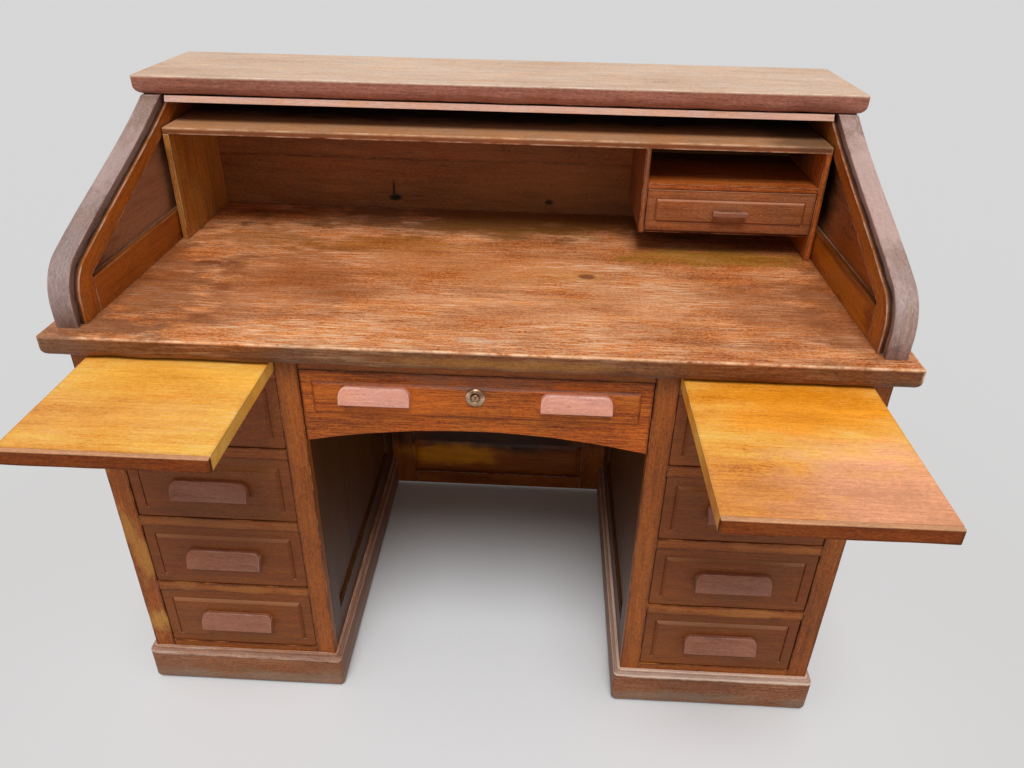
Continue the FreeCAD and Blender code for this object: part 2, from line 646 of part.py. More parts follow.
def groove():
    """The curtain's groove: up the S, level under the deck, and down behind the pigeonholes."""
    x = ROLL_INNER_HALF
    bend_y, bend_z = REAR_RUN - REAR_BEND_RADIUS, CURTAIN_HEIGHT - REAR_BEND_RADIUS
    edges = []
    ends = []
    for inset, side in ((GROOVE_LIP, 1), (GROOVE_LIP + GROOVE_WIDTH, -1)):
        level = CURTAIN_HEIGHT + side * GROOVE_WIDTH / 2
        radius = REAR_BEND_RADIUS + side * GROOVE_WIDTH / 2
        front_edges, foot, corner = roll_front(x, inset, level)
        over = Vector(x, bend_y, level)
        round_middle = polar_yz(x, bend_y, bend_z, radius, math.pi / 4)
        round_end = Vector(x, bend_y + radius, bend_z)
        tail = Vector(x, bend_y + radius, DESKTOP_TOP + GROOVE_WIDTH)
        edges += front_edges + [line(corner, over), arc(over, round_middle, round_end),
                                line(round_end, tail)]
        ends.append((foot, tail))
    edges.append(line(ends[0][0], ends[1][0]))
    edges.append(line(ends[0][1], ends[1][1]))
    return solid_from_edges(Part.__sortEdges__(edges), Vector(GROOVE_DEPTH, 0, 0))


def roll_opening():
    """Corners of the space that the roll side's panel fills."""
    front = CASE_FRONT + ROLL_STILE_WIDTH
    back = CASE_BACK - ROLL_BACK_STILE
    sill = DESKTOP_TOP + ROLL_BOTTOM_RAIL
    head = DECK_UNDERSIDE - ROLL_TOP_RAIL
    return [(front, sill), (back, sill), (back, head), (slope_place(head, ROLL_RAIL_WIDTH), head),
            (front, slope_height(front, ROLL_RAIL_WIDTH))]


def roll_side():
    """Front rail in an S, top and bottom rails and a back stile, grooved for the curtain."""
    x = ROLL_INNER_HALF
    across = Vector(ROLL_THICKNESS, 0, 0)
    (front, sill), (back, _), (_, head), (head_y, _), (_, slope_foot) = roll_opening()
    front_edges, foot, end = roll_front(x, 0, DECK_UNDERSIDE)
    inner_end = Vector(x, slope_place(DECK_UNDERSIDE, ROLL_RAIL_WIDTH), DECK_UNDERSIDE)
    corner = Vector(x, front, slope_foot)
    heel = Vector(x, front, DESKTOP_TOP)
    s_rail = solid_from_edges(front_edges + [line(end, inner_end), line(inner_end, corner),
                                             line(corner, heel), line(heel, foot)], across)
    top_rail = prism([Vector(x, head_y, head), Vector(x, back, head),
                      Vector(x, back, DECK_UNDERSIDE), inner_end], across)
    bottom_rail = box(x, ROLL_OUTER_HALF, front, back, DESKTOP_TOP, sill)
    back_stile = box(x, ROLL_OUTER_HALF, back, CASE_BACK, DESKTOP_TOP, DECK_UNDERSIDE)
    return [solid.cut(groove()).Solids[0] for solid in (s_rail, top_rail, back_stile)] + [bottom_rail]


def roll_panel():
    x = ROLL_INNER_HALF + PANEL_TONGUE
    corners = [Vector(x, y, z) for y, z in roll_opening()]
    return [prism(corners, Vector(ROLL_PANEL_THICKNESS, 0, 0))]


def upper_back_panel():
    """Frame with flat panels between the roll sides, behind the parked curtain."""
    front = CASE_BACK - MODESTY_THICKNESS
    half = ROLL_INNER_HALF
    sill = DESKTOP_TOP + BACK_RAIL_HEIGHT
    head = DECK_UNDERSIDE - BACK_RAIL_HEIGHT
    solids = [box(-half, half, front, CASE_BACK, DESKTOP_TOP, sill),
              box(-half, half, front, CASE_BACK, head, DECK_UNDERSIDE)]
    bay = (2 * half - UPPER_BACK_STILE) / UPPER_BACK_BAYS
    for index in range(UPPER_BACK_BAYS + 1):
        left = -half + index * bay
        solids.append(box(left, left + UPPER_BACK_STILE, front, CASE_BACK, sill, head))
        if index < UPPER_BACK_BAYS:
            solids.append(box(left + UPPER_BACK_STILE, left + bay, front + MODESTY_THICKNESS / 4,
                              CASE_BACK - MODESTY_THICKNESS / 4, sill, head))
    return solids


# ---------------------------------------------------------------- tambour
def slat(near, far):
    """One level slat of the curtain between two y values, flat below and crowned above."""
    x = ROLL_INNER_HALF - CURTAIN_END_GAP
    foot = CURTAIN_HEIGHT - SLAT_THICKNESS / 2
    shoulder = foot + SLAT_THICKNESS - SLAT_CROWN
    corners = [Vector(-x, far, shoulder), Vector(-x, far, foot), Vector(-x, near, foot),
               Vector(-x, near, shoulder)]
    edges = [line(a, b) for a, b in zip(corners, corners[1:])]
    crown = Vector(-x, (near + far) / 2, foot + SLAT_THICKNESS)
    edges.append(arc(corners[3], crown, corners[0]))
    return solid_from_edges(edges, Vector(2 * x, 0, 0))


def tambour_bead():
    """Rounded nose of the curtain, which the hand pulls and which its rail hinges on."""
    corner = curtain_corner()
    x = ROLL_INNER_HALF - CURTAIN_END_GAP
    bar = box(-x, x, corner.y - BEAD_SIZE / 2, corner.y + BEAD_SIZE / 2,
              corner.z - BEAD_SIZE / 2, corner.z + BEAD_SIZE / 2)
    long_edges = [edge for edge in bar.Edges if edge.BoundBox.XLength > x]
    return [bar.makeFillet(BEAD_ROUND, long_edges)]


def lead_rail_front():
    return curtain_corner().y + BEAD_SIZE / 2 + SLAT_GAP


def tambour_lead_rail():
    """Wide first slat of the curtain, behind the bead."""
    front = lead_rail_front()
    x = ROLL_INNER_HALF - CURTAIN_END_GAP
    return [box(-x, x, front, front + LEAD_RAIL_WIDTH, CURTAIN_HEIGHT - SLAT_THICKNESS / 2,
                CURTAIN_HEIGHT + SLAT_THICKNESS / 2)]


def tambour_slats():
    """The slats that follow the lead rail as far as the curtain is drawn."""
    start = lead_rail_front() + LEAD_RAIL_WIDTH + SLAT_GAP
    return [slat(start + index * SLAT_PITCH, start + (index + 1) * SLAT_PITCH - SLAT_GAP)
            for index in range(MOVING_SLATS)]


def tambour_parked_slats():
    """The rest of the curtain: two slats in the rear bend, the others hanging behind."""
    bend = Vector(0, REAR_RUN - REAR_BEND_RADIUS, CURTAIN_HEIGHT - REAR_BEND_RADIUS)
    half = (SLAT_PITCH - SLAT_GAP) / 2
    level = slat(bend.y - half, bend.y + half)
    solids = []
    for angle in (30.0, 60.0):
        turned = level.copy()
        turned.rotate(bend, Vector(1, 0, 0), -angle)
        solids.append(turned)
    hanging = level.copy()
    hanging.rotate(bend, Vector(1, 0, 0), -90.0)
    hanging_count = int((bend.z - DESKTOP_TOP) // SLAT_PITCH)
    for index in range(hanging_count):
        copy = hanging.copy()
        copy.translate(Vector(0, 0, -(index + 0.5) * SLAT_PITCH))
        solids.append(copy)
    return solids


# ---------------------------------------------------------------- pigeonholes
def pigeonhole_top():
    return [box(-PIGEONHOLE_HALF_WIDTH, PIGEONHOLE_HALF_WIDTH, PIGEONHOLE_FRONT,
                PIGEONHOLE_BACK + PIGEONHOLE_BACK_BOARD, PIGEONHOLE_UNDERSIDE,
                PIGEONHOLE_UNDERSIDE + PIGEONHOLE_TOP_BOARD)]


def pigeonhole_side():
    return [box(PIGEONHOLE_HALF_WIDTH - PIGEONHOLE_BOARD, PIGEONHOLE_HALF_WIDTH, PIGEONHOLE_FRONT,
                PIGEONHOLE_BACK, DESKTOP_TOP, PIGEONHOLE_UNDERSIDE)]


def pigeonhole_back():
    return [box(-PIGEONHOLE_HALF_WIDTH, PIGEONHOLE_HALF_WIDTH, PIGEONHOLE_BACK,
                PIGEONHOLE_BACK + PIGEONHOLE_BACK_BOARD, DESKTOP_TOP, PIGEONHOLE_UNDERSIDE)]


def cubby_span():
    """Inner faces of the small compartment on the right: divider and pigeonhole side."""
    return DIVIDER_LEFT + DIVIDER_THICKNESS, PIGEONHOLE_HALF_WIDTH - PIGEONHOLE_BOARD


def pigeonhole_divider():
    return [box(DIVIDER_LEFT, DIVIDER_LEFT + DIVIDER_THICKNESS, PIGEONHOLE_FRONT, PIGEONHOLE_BACK,
                SMALL_FLOOR_TOP - SMALL_FLOOR_THICKNESS, PIGEONHOLE_UNDERSIDE)]


def pigeonhole_shelf():
    left, right = cubby_span()
    return [box(left, right, PIGEONHOLE_FRONT, PIGEONHOLE_BACK, SHELF_UNDERSIDE,
                SHELF_UNDERSIDE + SHELF_THICKNESS)]


def pigeonhole_floor():
    left, right = cubby_span()
    return [box(left, right, PIGEONHOLE_FRONT + SMALL_FRONT_THICKNESS / 2, PIGEONHOLE_BACK,
                SMALL_FLOOR_TOP - SMALL_FLOOR_THICKNESS, SMALL_FLOOR_TOP)]


def small_front_span():
    left, right = cubby_span()
    return (left + DRAWER_GAP, right - DRAWER_GAP, SMALL_FLOOR_TOP + SLIDING_GAP,
            SHELF_UNDERSIDE - DRAWER_GAP)


def small_drawer_front():
    left, right, foot, top = small_front_span()
    face = PIGEONHOLE_FRONT
    field = raised_field(left + SMALL_FIELD_MARGIN, right - SMALL_FIELD_MARGIN,
                         foot + SMALL_FIELD_MARGIN, top - SMALL_FIELD_MARGIN, face, SMALL_FIELD_RISE)
    board = box(left, right, face, face + SMALL_FRONT_THICKNESS, foot, top)
    return [board.fuse(field).removeSplitter().Solids[0]]


def small_drawer_box():
    left, right, foot, _ = small_front_span()
    return drawer_box(left + SLIDING_GAP, right - SLIDING_GAP, PIGEONHOLE_FRONT + SMALL_FRONT_THICKNESS,
                      SMALL_BOX_DEPTH, foot, SMALL_BOX_HEIGHT, SMALL_BOX_BOARD, SMALL_BOX_BOTTOM)


def small_drawer_handle():
    """A short bar on two posts."""
    left, right, foot, top = small_front_span()
    face = PIGEONHOLE_FRONT - SMALL_FIELD_RISE
    centre = (left + right) / 2
    low = (foot + top) / 2 - SMALL_HANDLE_HEIGHT / 2
    high = low + SMALL_HANDLE_HEIGHT
    end_left, end_right = centre - SMALL_HANDLE_LENGTH / 2, centre + SMALL_HANDLE_LENGTH / 2
    grip_back = face - SMALL_HANDLE_REACH + SMALL_HANDLE_GRIP
    grip = box(end_left, end_right, face - SMALL_HANDLE_REACH, grip_back, low, high)
    posts = [box(x, x + SMALL_HANDLE_FOOT, grip_back, face, low, high)
             for x in (end_left, end_right - SMALL_HANDLE_FOOT)]
    return [grip.fuse(posts).removeSplitter().Solids[0]]


# ---------------------------------------------------------------- the whole desk
def make_pedestals():
    both_sides("pedestal_outer_side", framed_side(CASE_HALF_WIDTH, 1))
    both_sides("pedestal_knee_side", framed_side(KNEE_HALF_WIDTH, -1))
    both_sides("pedestal_face_frame", face_frame())
    both_sides("pedestal_back", pedestal_back())
    both_sides("pedestal_plinth", plinth())
    both_sides("pedestal_runners", runners())
    for row in range(1, DRAWERS_PER_SIDE + 1):
        both_sides(f"drawer_{row}_front", pedestal_drawer_front(row))
        both_sides(f"drawer_{row}_box", pedestal_drawer_box(row))
    save("right_writing_slide", writing_slide(RIGHT_SLIDE_REACH))
    save("left_writing_slide", mirrored(writing_slide(LEFT_SLIDE_REACH)))


def make_kneehole():
    save("modesty_panel", modesty_panel())
    save("kneehole_rail", kneehole_rail())
    save("center_drawer_runners", centre_drawer_runners())
    save("center_drawer_front", centre_drawer_front())
    save("center_drawer_pulls", centre_drawer_pulls())
    save("center_drawer_box", centre_drawer_box())
    save("lock_housing", lock_housing())
    save("lock_plug", lock_plug())
    save("lock_bolt", lock_bolt())


def make_upper_case():
    save("desktop", [desktop()])
    save("top_deck", [top_deck()])
    both_sides("roll_side", roll_side())
    both_sides("roll_panel", roll_panel())
    save("upper_back_panel", upper_back_panel())
    save("tambour_bead", tambour_bead())
    save("tambour_lead_rail", tambour_lead_rail())
    save("tambour_slats", tambour_slats())
    save("tambour_parked_slats", tambour_parked_slats())


def make_pigeonholes():
    save("pigeonhole_top", pigeonhole_top())
    both_sides("pigeonhole_side", pigeonhole_side())
    save("pigeonhole_back", pigeonhole_back())
    save("pigeonhole_divider", pigeonhole_divider())
    save("pigeonhole_shelf", pigeonhole_shelf())
    save("pigeonhole_floor", pigeonhole_floor())
    save("small_drawer_front", small_drawer_front())
    save("small_drawer_box", small_drawer_box())
    save("small_drawer_handle", small_drawer_handle())


os.makedirs("parts", exist_ok=True)
make_pedestals()
make_kneehole()
make_upper_case()
make_pigeonholes()
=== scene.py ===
import math
import random

import bmesh
import bpy
from bpy.props import FloatProperty, FloatVectorProperty, IntProperty, PointerProperty
from mathutils import Matrix, Vector, noise


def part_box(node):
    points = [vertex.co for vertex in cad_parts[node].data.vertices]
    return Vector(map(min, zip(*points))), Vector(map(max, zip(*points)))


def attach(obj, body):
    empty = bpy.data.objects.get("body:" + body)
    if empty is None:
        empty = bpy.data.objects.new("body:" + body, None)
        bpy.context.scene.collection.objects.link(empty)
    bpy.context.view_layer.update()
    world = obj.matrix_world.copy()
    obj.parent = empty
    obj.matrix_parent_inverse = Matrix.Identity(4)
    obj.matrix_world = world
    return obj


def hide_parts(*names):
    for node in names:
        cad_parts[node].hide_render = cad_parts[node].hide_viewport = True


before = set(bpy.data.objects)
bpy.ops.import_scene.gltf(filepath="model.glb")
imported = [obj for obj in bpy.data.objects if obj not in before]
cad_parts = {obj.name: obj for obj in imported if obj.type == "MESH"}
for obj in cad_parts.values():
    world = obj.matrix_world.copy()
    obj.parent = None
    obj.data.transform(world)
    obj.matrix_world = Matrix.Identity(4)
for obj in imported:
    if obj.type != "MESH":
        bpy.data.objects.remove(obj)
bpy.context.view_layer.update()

bl_info = {
    "name": "Roll-top desk",
    "version": (1, 0, 0),
    "blender": (4, 5, 0),
    "location": "3D View > Sidebar > Desk",
    "description": "Boards, mouldings, slats and finishes of a roll-top pedestal desk",
    "category": "Add Mesh",
}

SIDES = (("left", -1), ("right", 1))
ROWS = (1, 2, 3, 4)
AXES = {"x": 0, "y": 1, "z": 2}

# Joinery in millimetres, alike all over the desk. The dicts give board widths and thicknesses:
# of a runner and its guide, of the frames of a pedestal's side and back, and of the base.
FRONT_PLAY = 1.2        # gap round a drawer front
SLIDE_GAP = 0.6         # air under a writing slide
FRONT_SET_BACK = 2.0    # a drawer front's margin behind the face frame
FIELD_RISE = 5.0        # a raised field over the margin round it
PANEL_SUNK = 7.0        # a plain panel's face behind its frame's
PANEL_THICK = 8.0
RAIL_SET_BACK = 0.4     # the face frame's rails behind its stiles
RUNNER = {"width": 34.0, "thick": 20.0, "guide_width": 16.5, "guide_height": 24.0}
SIDE_FRAME = {"front": 47.0, "back": 75.0, "foot": 69.0, "head": 57.0}
BACK_FRAME = {"stile": 55.0, "foot": 67.0, "head": 55.0}
BASE = {"out": 12.0, "thick": 30.0, "height": 74.0}

# A second-order curve with this weight on its middle point is a quarter of a circle.
ARC_WEIGHT = math.cos(math.pi / 4)


# ------------------------------------------------------------------ measures
def linear(text):
    """An sRGB hex colour as linear red, green, blue."""
    parts = [int(text[i:i + 2], 16) / 255 for i in (0, 2, 4)]
    return tuple(p / 12.92 if p <= 0.04045 else ((p + 0.055) / 1.055) ** 2.4 for p in parts)


def span(node):
    """Lowest and highest corner of a node of the frame, in millimetres."""
    low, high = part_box(node)
    return low * 1000, high * 1000


def swapped(low, high, sign):
    """The same box, mirrored to the left side where sign is -1."""
    if sign > 0:
        return low, high
    return (-high[0], low[1], low[2]), (-low[0], high[1], high[2])


# ------------------------------------------------------------------ board making
def unit(a, b):
    length = math.hypot(b[0] - a[0], b[1] - a[1])
    return (b[0] - a[0]) / length, (b[1] - a[1]) / length


def rounded_corner(before, corner, after, soft, bends):
    """Points round one corner, each with the way in which it moves per millimetre of inset."""
    dot = before[0] * after[0] + before[1] * after[1]
    mitre = ((-before[1] - after[1]) / (1 + dot), (before[0] + after[0]) / (1 + dot))
    if dot > 0.9:
        return [(corner, mitre)]
    first = [corner[i] - before[i] * soft for i in (0, 1)]
    last = [corner[i] + after[i] * soft for i in (0, 1)]
    points = []
    for k in range(bends + 2):
        t = k / (bends + 1)
        shares = (1 - t) ** 2, 2 * ARC_WEIGHT * t * (1 - t), t ** 2
        points.append((tuple((first[i] * shares[0] + corner[i] * shares[1] + last[i] * shares[2])
                             / sum(shares) for i in (0, 1)), mitre))
    return points


def outline(corners, soft=1.2, step=30.0, closed=True, bends=1):
    """Points round an outline, each with the way in which it moves per millimetre of inset.

    Sharp corners get an arc of radius soft, with bends points between its ends, and straight runs
    get a point about every step.
    The outline runs anticlockwise, so that a positive inset moves it inwards.
    """
    count = len(corners)
    groups = []
    for i, corner in enumerate(corners):
        after = unit(corner, corners[(i + 1) % count]) if closed or i < count - 1 else None
        before = unit(corners[i - 1], corner) if closed or i else after
        groups.append(rounded_corner(before, corner, after or before, soft, bends))
    rim = []
    for i, group in enumerate(groups):
        rim += group
        if not closed and i == count - 1:
            break
        (a, turn_a), (b, turn_b) = group[-1], groups[(i + 1) % count][0]
        parts = max(1, round(math.dist(a, b) / step))
        for part in range(1, parts):
            t = part / parts
            rim.append(((a[0] + (b[0] - a[0]) * t, a[1] + (b[1] - a[1]) * t),
                        (turn_a[0] + (turn_b[0] - turn_a[0]) * t,
                         turn_a[1] + (turn_b[1] - turn_a[1]) * t)))
    return rim


def rectangle(low, high, a=0, b=2):
    """Corners of a box seen square to its third axis, anticlockwise."""
    return [(low[a], low[b]), (high[a], low[b]), (high[a], high[b]), (low[a], high[b])]


def placed(through, a, b, height):
    """A point of an outline that lies square to the through axis."""
    if through == "z":
        return Vector((a, b, height))
    if through == "y":
        return Vector((a, height, b))
    return Vector((height, a, b))


def arris(height, radius, way, segments=2):
    """Rings that round an edge at this height: way is +1 at the lower face, -1 at the upper."""
    rings = []
    for part in range(segments + 1):
        angle = math.pi / 2 * part / segments
        give_in, give_up = radius * (1 - math.sin(angle)), radius * (1 - math.cos(angle))
        rings.append((0.0, height, give_in, way * give_up))
    return rings if way > 0 else rings[::-1]


class Piece:
    """Boards gathered into one mesh, each with its own place in the log it was sawn from."""

    def __init__(self, name, wear=0.5):
        self.name = name
        self.wear = wear
        self.points, self.faces = [], []
        self.grain, self.half, self.log = [], [], []
        self.random = random.Random(name)

    def loft(self, rings, grain="x", local=None, loop=False):
        """Skin over rings of points, with its ends closed unless the rings run in a loop.

        local gives each point's place along, across and through the board.
        """
        base, count = len(self.points), len(rings[0])
        flat = [point for ring in rings for point in ring]
        self.points += flat
        for k in range(len(rings) - 1 + loop):
            for j in range(count):
                after = (j + 1) % count
                row, up = base + k * count, base + (k + 1) % len(rings) * count
                self.faces.append((row + j, row + after, up + after, up + j))
        if not loop:
            self.faces.append(tuple(range(base, base + count))[::-1])
            last = base + (len(rings) - 1) * count
            self.faces.append(tuple(range(last, last + count)))
        if local is None:
            local = self.local(flat, grain)
        low = [min(p[i] for p in local) for i in range(3)]
        high = [max(p[i] for p in local) for i in range(3)]
        middle = [(a + b) / 2 for a, b in zip(low, high)]
        self.grain += [tuple((p[i] - middle[i]) / 1000 for i in range(3)) for p in local]
        self.half += [tuple((b - a) / 2000 for a, b in zip(low, high))] * len(flat)
        self.log += [self.random.random()] * len(flat)

    def local(self, points, grain):
        """Places along the grain, across the board's wider way, and through its thickness."""
        along = AXES[grain]
        extent = [max(p[i] for p in points) - min(p[i] for p in points) for i in range(3)]
        others = sorted((i for i in range(3) if i != along), key=lambda i: -extent[i])
        return [(p[along], p[others[0]], p[others[1]]) for p in points]

    def stack(self, rim, rings, through, grain):
        """Rings of one outline at rising heights: (inset, height, worn inset, worn height).

        Wear sways along an arris every 45 mm or so, and here and there it takes a small chip.
        """
        seat = self.random.random() * 100
        layers = []
        for inset, height, give_in, give_up in rings:
            layer = []
            for (a, b), (way_a, way_b) in rim:
                place = placed(through, a, b, height)
                sway = noise.noise(place / 45 + Vector((seat, 0, 0)))
                chip = max(0.0, noise.noise(place / 11 + Vector((0, seat, 0))) - 0.42) * 6
                worn = max(0.45, 1 + self.wear * (1.6 * sway + chip))
                move = inset + give_in * worn
                layer.append(placed(through, a + way_a * move, b + way_b * move,
                                    height + give_up * worn))
            layers.append(layer)
        self.loft(layers, grain)

    def board(self, low, high, grain, soft=1.2, step=30.0):
        """A sawn board with softened, slightly worn arrises."""
        sizes = [high[i] - low[i] for i in range(3)]
        through = min(AXES, key=lambda axis: (sizes[AXES[axis]], axis == grain))
        t = AXES[through]
        a, b = [i for i in range(3) if i != t]
        soft = min(soft, sizes[t] * 0.3)
        self.stack(outline(rectangle(low, high, a, b), soft, step),
                   arris(low[t], soft, 1) + arris(high[t], soft, -1), through, grain)

    def planks(self, low, high, grain, across, count, soft=0.5, step=60.0):
        """A wide board glued up from planks of slightly different widths."""
        i = AXES[across]
        shifts = [self.random.uniform(-0.12, 0.12) * (0 < k < count) for k in range(count + 1)]
        cuts = [low[i] + (high[i] - low[i]) * (k + shift) / count for k, shift in enumerate(shifts)]
        for start, end in zip(cuts, cuts[1:]):
            lower, upper = list(low), list(high)
            lower[i], upper[i] = start, end
            self.board(lower, upper, grain, soft, step)

    def run(self, rim, profile, sway=0.25):
        """A section, as (outwards, height), carried along an open line in plan."""
        seat = self.random.random() * 100
        rings, local, travelled = [], [], 0.0
        for j, ((a, b), (way_a, way_b)) in enumerate(rim):
            if j:
                travelled += math.dist((a, b), rim[j - 1][0])
            ring = []
            for out, height in profile:
                wobble = sway * noise.noise(Vector((a / 40, b / 40, height / 9 + seat)))
                chip = max(0.0, noise.noise(Vector((a, b, height * 2)) / 8 + Vector((0, 0, seat)))
                           - 0.45) * 7 * sway
                move = out + (wobble - chip) * (out > 0)
                ring.append(Vector((a - way_a * move, b - way_b * move, height)))
                local.append((travelled, out, height))
            rings.append(ring)
        self.loft(rings, local=local)

    def finish(self, material, body, replaces=(), slot=None):
        """The mesh as an object that rides on a body and stands for its nodes of the frame."""
        mesh = bpy.data.meshes.new(self.name)
        mesh.from_pydata([point / 1000 for point in self.points], [], self.faces)
        for name, values in (("grain", self.grain), ("half", self.half)):
            layer = mesh.attributes.new(name, "FLOAT_VECTOR", "POINT")
            layer.data.foreach_set("vector", [part for value in values for part in value])
        mesh.attributes.new("log", "FLOAT", "POINT").data.foreach_set("value", self.log)
        shell = bmesh.new()
        shell.from_mesh(mesh)
        bmesh.ops.recalc_face_normals(shell, faces=shell.faces)
        shell.to_mesh(mesh)
        shell.free()
        mesh.shade_smooth()
        mesh.set_sharp_from_angle(angle=math.radians(40))
        mesh.materials.append(material)
        piece = bpy.data.objects.new(self.name, mesh)
        bpy.context.scene.collection.objects.link(piece)
        even = piece.modifiers.new("even_shading", "WEIGHTED_NORMAL")
        even.keep_sharp = True
        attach(piece, body)
        if replaces:
            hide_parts(*replaces)


# ------------------------------------------------------------------ sizes and colours
def colour(name, text, description):
    return FloatVectorProperty(name=name, description=description, default=linear(text), size=3,
                               min=0.0, max=1.0, subtype="COLOR")


def length(name, default, description):
    return FloatProperty(name=name, description=description, default=default, min=0.0,
                         unit="LENGTH")


class DeskSizes(bpy.types.PropertyGroup):
    """Sizes that change how the desk is dressed. The frame itself stays as it is."""

    desktop_edge: length("Desktop lower edge", 0.014, "Radius under the desktop's front and ends")
    deck_edge: length("Deck lower edge", 0.018, "Radius under the top deck's front and ends")
    plank_width: length("Plank width", 0.118, "Usual width of the planks in a wide board")
    stile_width: length("Stile width", 0.0365, "Width of the upright beside the drawers")
    field_margin: length("Field margin", 0.019, "Flat margin round a raised field")
    field_bevel: length("Field bevel", 0.005, "Width and rise of a raised field's bevel")
    pull_length: length("Pull length", 0.134, "Length of a pedestal drawer's pull")
    pull_height: length("Pull height", 0.035, "Height of a pedestal drawer's pull")
    pull_raise: length("Pull raise", 0.0042, "How far a pull sits above the middle of its drawer")
    center_pull_length: length("Kneehole pull length", 0.113, "Length of a kneehole drawer's pull")
    pull_corner: length("Pull corner", 0.013, "Radius of a pull's upper corners")
    pull_rim: length("Pull rim", 0.006, "Thickness of a pull along its top")
    pull_lip: length("Pull lip", 0.006, "Thickness of a pull's lip in front of the finger hollow")
    groove_lip: length("Groove lip", 0.0055, "Wood in front of the tambour's groove")
    groove_width: length("Groove width", 0.012, "Width of the tambour's groove")
    edge_wear: FloatProperty(name="Edge wear", default=0.5, min=0.0, max=1.0, subtype="FACTOR",
                             description="How unevenly the arrises are worn")
    slats: IntProperty(name="Moving slats", default=6, min=1, max=12,
                       description="Slats that follow the lead rail")


class DeskColours(bpy.types.PropertyGroup):
    """Stains and wear, each as the eye sees it in plain light."""

    desktop_dark: colour("Desktop, dark grain", "964c22", "Stain left in the desktop's grain")
    desktop_light: colour("Desktop, light grain", "f6a263", "Desktop where the stain is thin")
    desktop_worn: colour("Desktop, worn", "ffd8b0", "Rubbed and scratched wood on the desktop")
    deck_dark: colour("Deck, dark grain", "c9a488", "Grain of the faded deck")
    deck_light: colour("Deck, light grain", "f0d4bd", "Faded, dusty wood of the deck")
    deck_edge_dark: colour("Deck edge, dark grain", "855040", "Stain in its edges' grain")
    deck_edge_light: colour("Deck edge, light grain", "bd7e68", "Edges where the stain is thin")
    case_dark: colour("Case, dark grain", "6a320b", "Stain in the grain of the case")
    case_light: colour("Case, light grain", "ae5f20", "Case where the stain is thin")
    case_worn: colour("Case, worn", "c87c3e", "Orange wood where the case's finish is rubbed off")
    front_dark: colour("Drawer front, dark grain", "642f0b", "Stain in the fronts' grain")
    front_light: colour("Drawer front, light grain", "94501a", "Fronts where the stain is thin")
    center_dark: colour("Kneehole drawer, dark grain", "8a3e0a", "Stain in its grain")
    center_light: colour("Kneehole drawer, light grain", "cb6b1e", "Where hands rubbed it")
    pull_dark: colour("Pull, dark grain", "7f4e3d", "Grain of the carved pulls")
    pull_light: colour("Pull, light grain", "a87058", "Faded wood of the carved pulls")
    slide_dark: colour("Slide, dark grain", "ec9630", "Grain of the writing slides")
    slide_light: colour("Slide, light grain", "ffca5c", "Clear varnished writing slides")
    plinth_dark: colour("Base, dark grain", "5f331b", "Scuffed stain on the base boards")
    plinth_light: colour("Base, light grain", "9e643e", "Greyed wood of the base boards")
    lip_dark: colour("Roll side, dark grain", "8e736d", "Stain on the outer faces")
    lip_light: colour("Roll side, light grain", "bba097", "Greyed, faded outer faces")
    inner_dark: colour("Inner faces, dark grain", "8f5424", "Stain the light didn't fade")
    inner_light: colour("Inner faces, light grain", "e29e4a", "Orange wood inside the roll")
    nook_dark: colour("Pigeonholes, dark grain", "4a2414", "Stain in the pigeonholes")
    nook_light: colour("Pigeonholes, light grain", "8a4d2c", "Where the stain is thin")
    raw_dark: colour("Bare wood, dark grain", "8f6a48", "Grain of the unfinished inner boards")
    raw_light: colour("Bare wood, light grain", "c39a70", "Unfinished inner boards")
    brass_clean: colour("Brass, rubbed", "ffd0b0", "Brass where fingers keep it bright")
    brass_dull: colour("Brass, dulled", "8a6a50", "Brown film on old brass")
    floor_grey: colour("Floor", "d9d9d9", "Plain floor and backdrop")
    # Painted light: the floor by the desk is made paler, to lift the desk's shade and warm bounce.
    floor_near_painted_light: colour("Floor by the desk", "e6e8ea", "Floor under the desk's shade and glow")


# ------------------------------------------------------------------ finishes
def add(tree, kind, settings=None, links=None):
    """Adds a shader node, fills in its fields or sockets, and links sockets to other nodes."""
    node = tree.nodes.new("ShaderNode" + kind)
    for key, value in (settings or {}).items():
        if isinstance(key, str) and hasattr(node, key):
            setattr(node, key, value)
        else:
            node.inputs[key].default_value = value
    for key, source in (links or {}).items():
        output = source if isinstance(source, bpy.types.NodeSocket) else source.outputs[0]
        tree.links.new(output, node.inputs[key])
    return node


def blank(name):
    """A new material with its node tree emptied."""
    material = bpy.data.materials.new(name)
    material.use_nodes = True
    material.node_tree.nodes.clear()
    return material, material.node_tree


# Settings that many nodes share.
SMOOTH = {"interpolation_type": "SMOOTHSTEP"}
COLOURS = {"data_type": "RGBA"}
DARKEN = {"data_type": "RGBA", "blend_type": "MULTIPLY"}

# Every pattern is a noise drawn out along the grain: how far, its width in millimetres or the
# look's name for it, and its detail. Streaks of stain, single fibres, open pores, bright rays,
# specks, changes of tone, scratches, clouds where the stain took more or less, rubbed places.
PATTERNS = (("streaks", 0.06, "streak", 4.0), ("fibres", 0.03, "fibre", 2.0),
            ("pores", 0.06, "pore", 1.0), ("rays", 0.3, 2.8, 2.0), ("specks", 0.6, "speck", 2.0),
            ("tones", 0.5, "tone", 5.0), ("scratches", 0.045, 2.6, 2.0),
            ("clouds", 0.45, "cloud", 3.0), ("rub", 1.0, 31.0, 4.0))
WEIGHTS = {"streaks": 0.6, "fibres": 0.55, "rays": 0.6, "specks": 0.7, "rings": 0.07,
           "clouds": 0.6, "boards": 0.14}


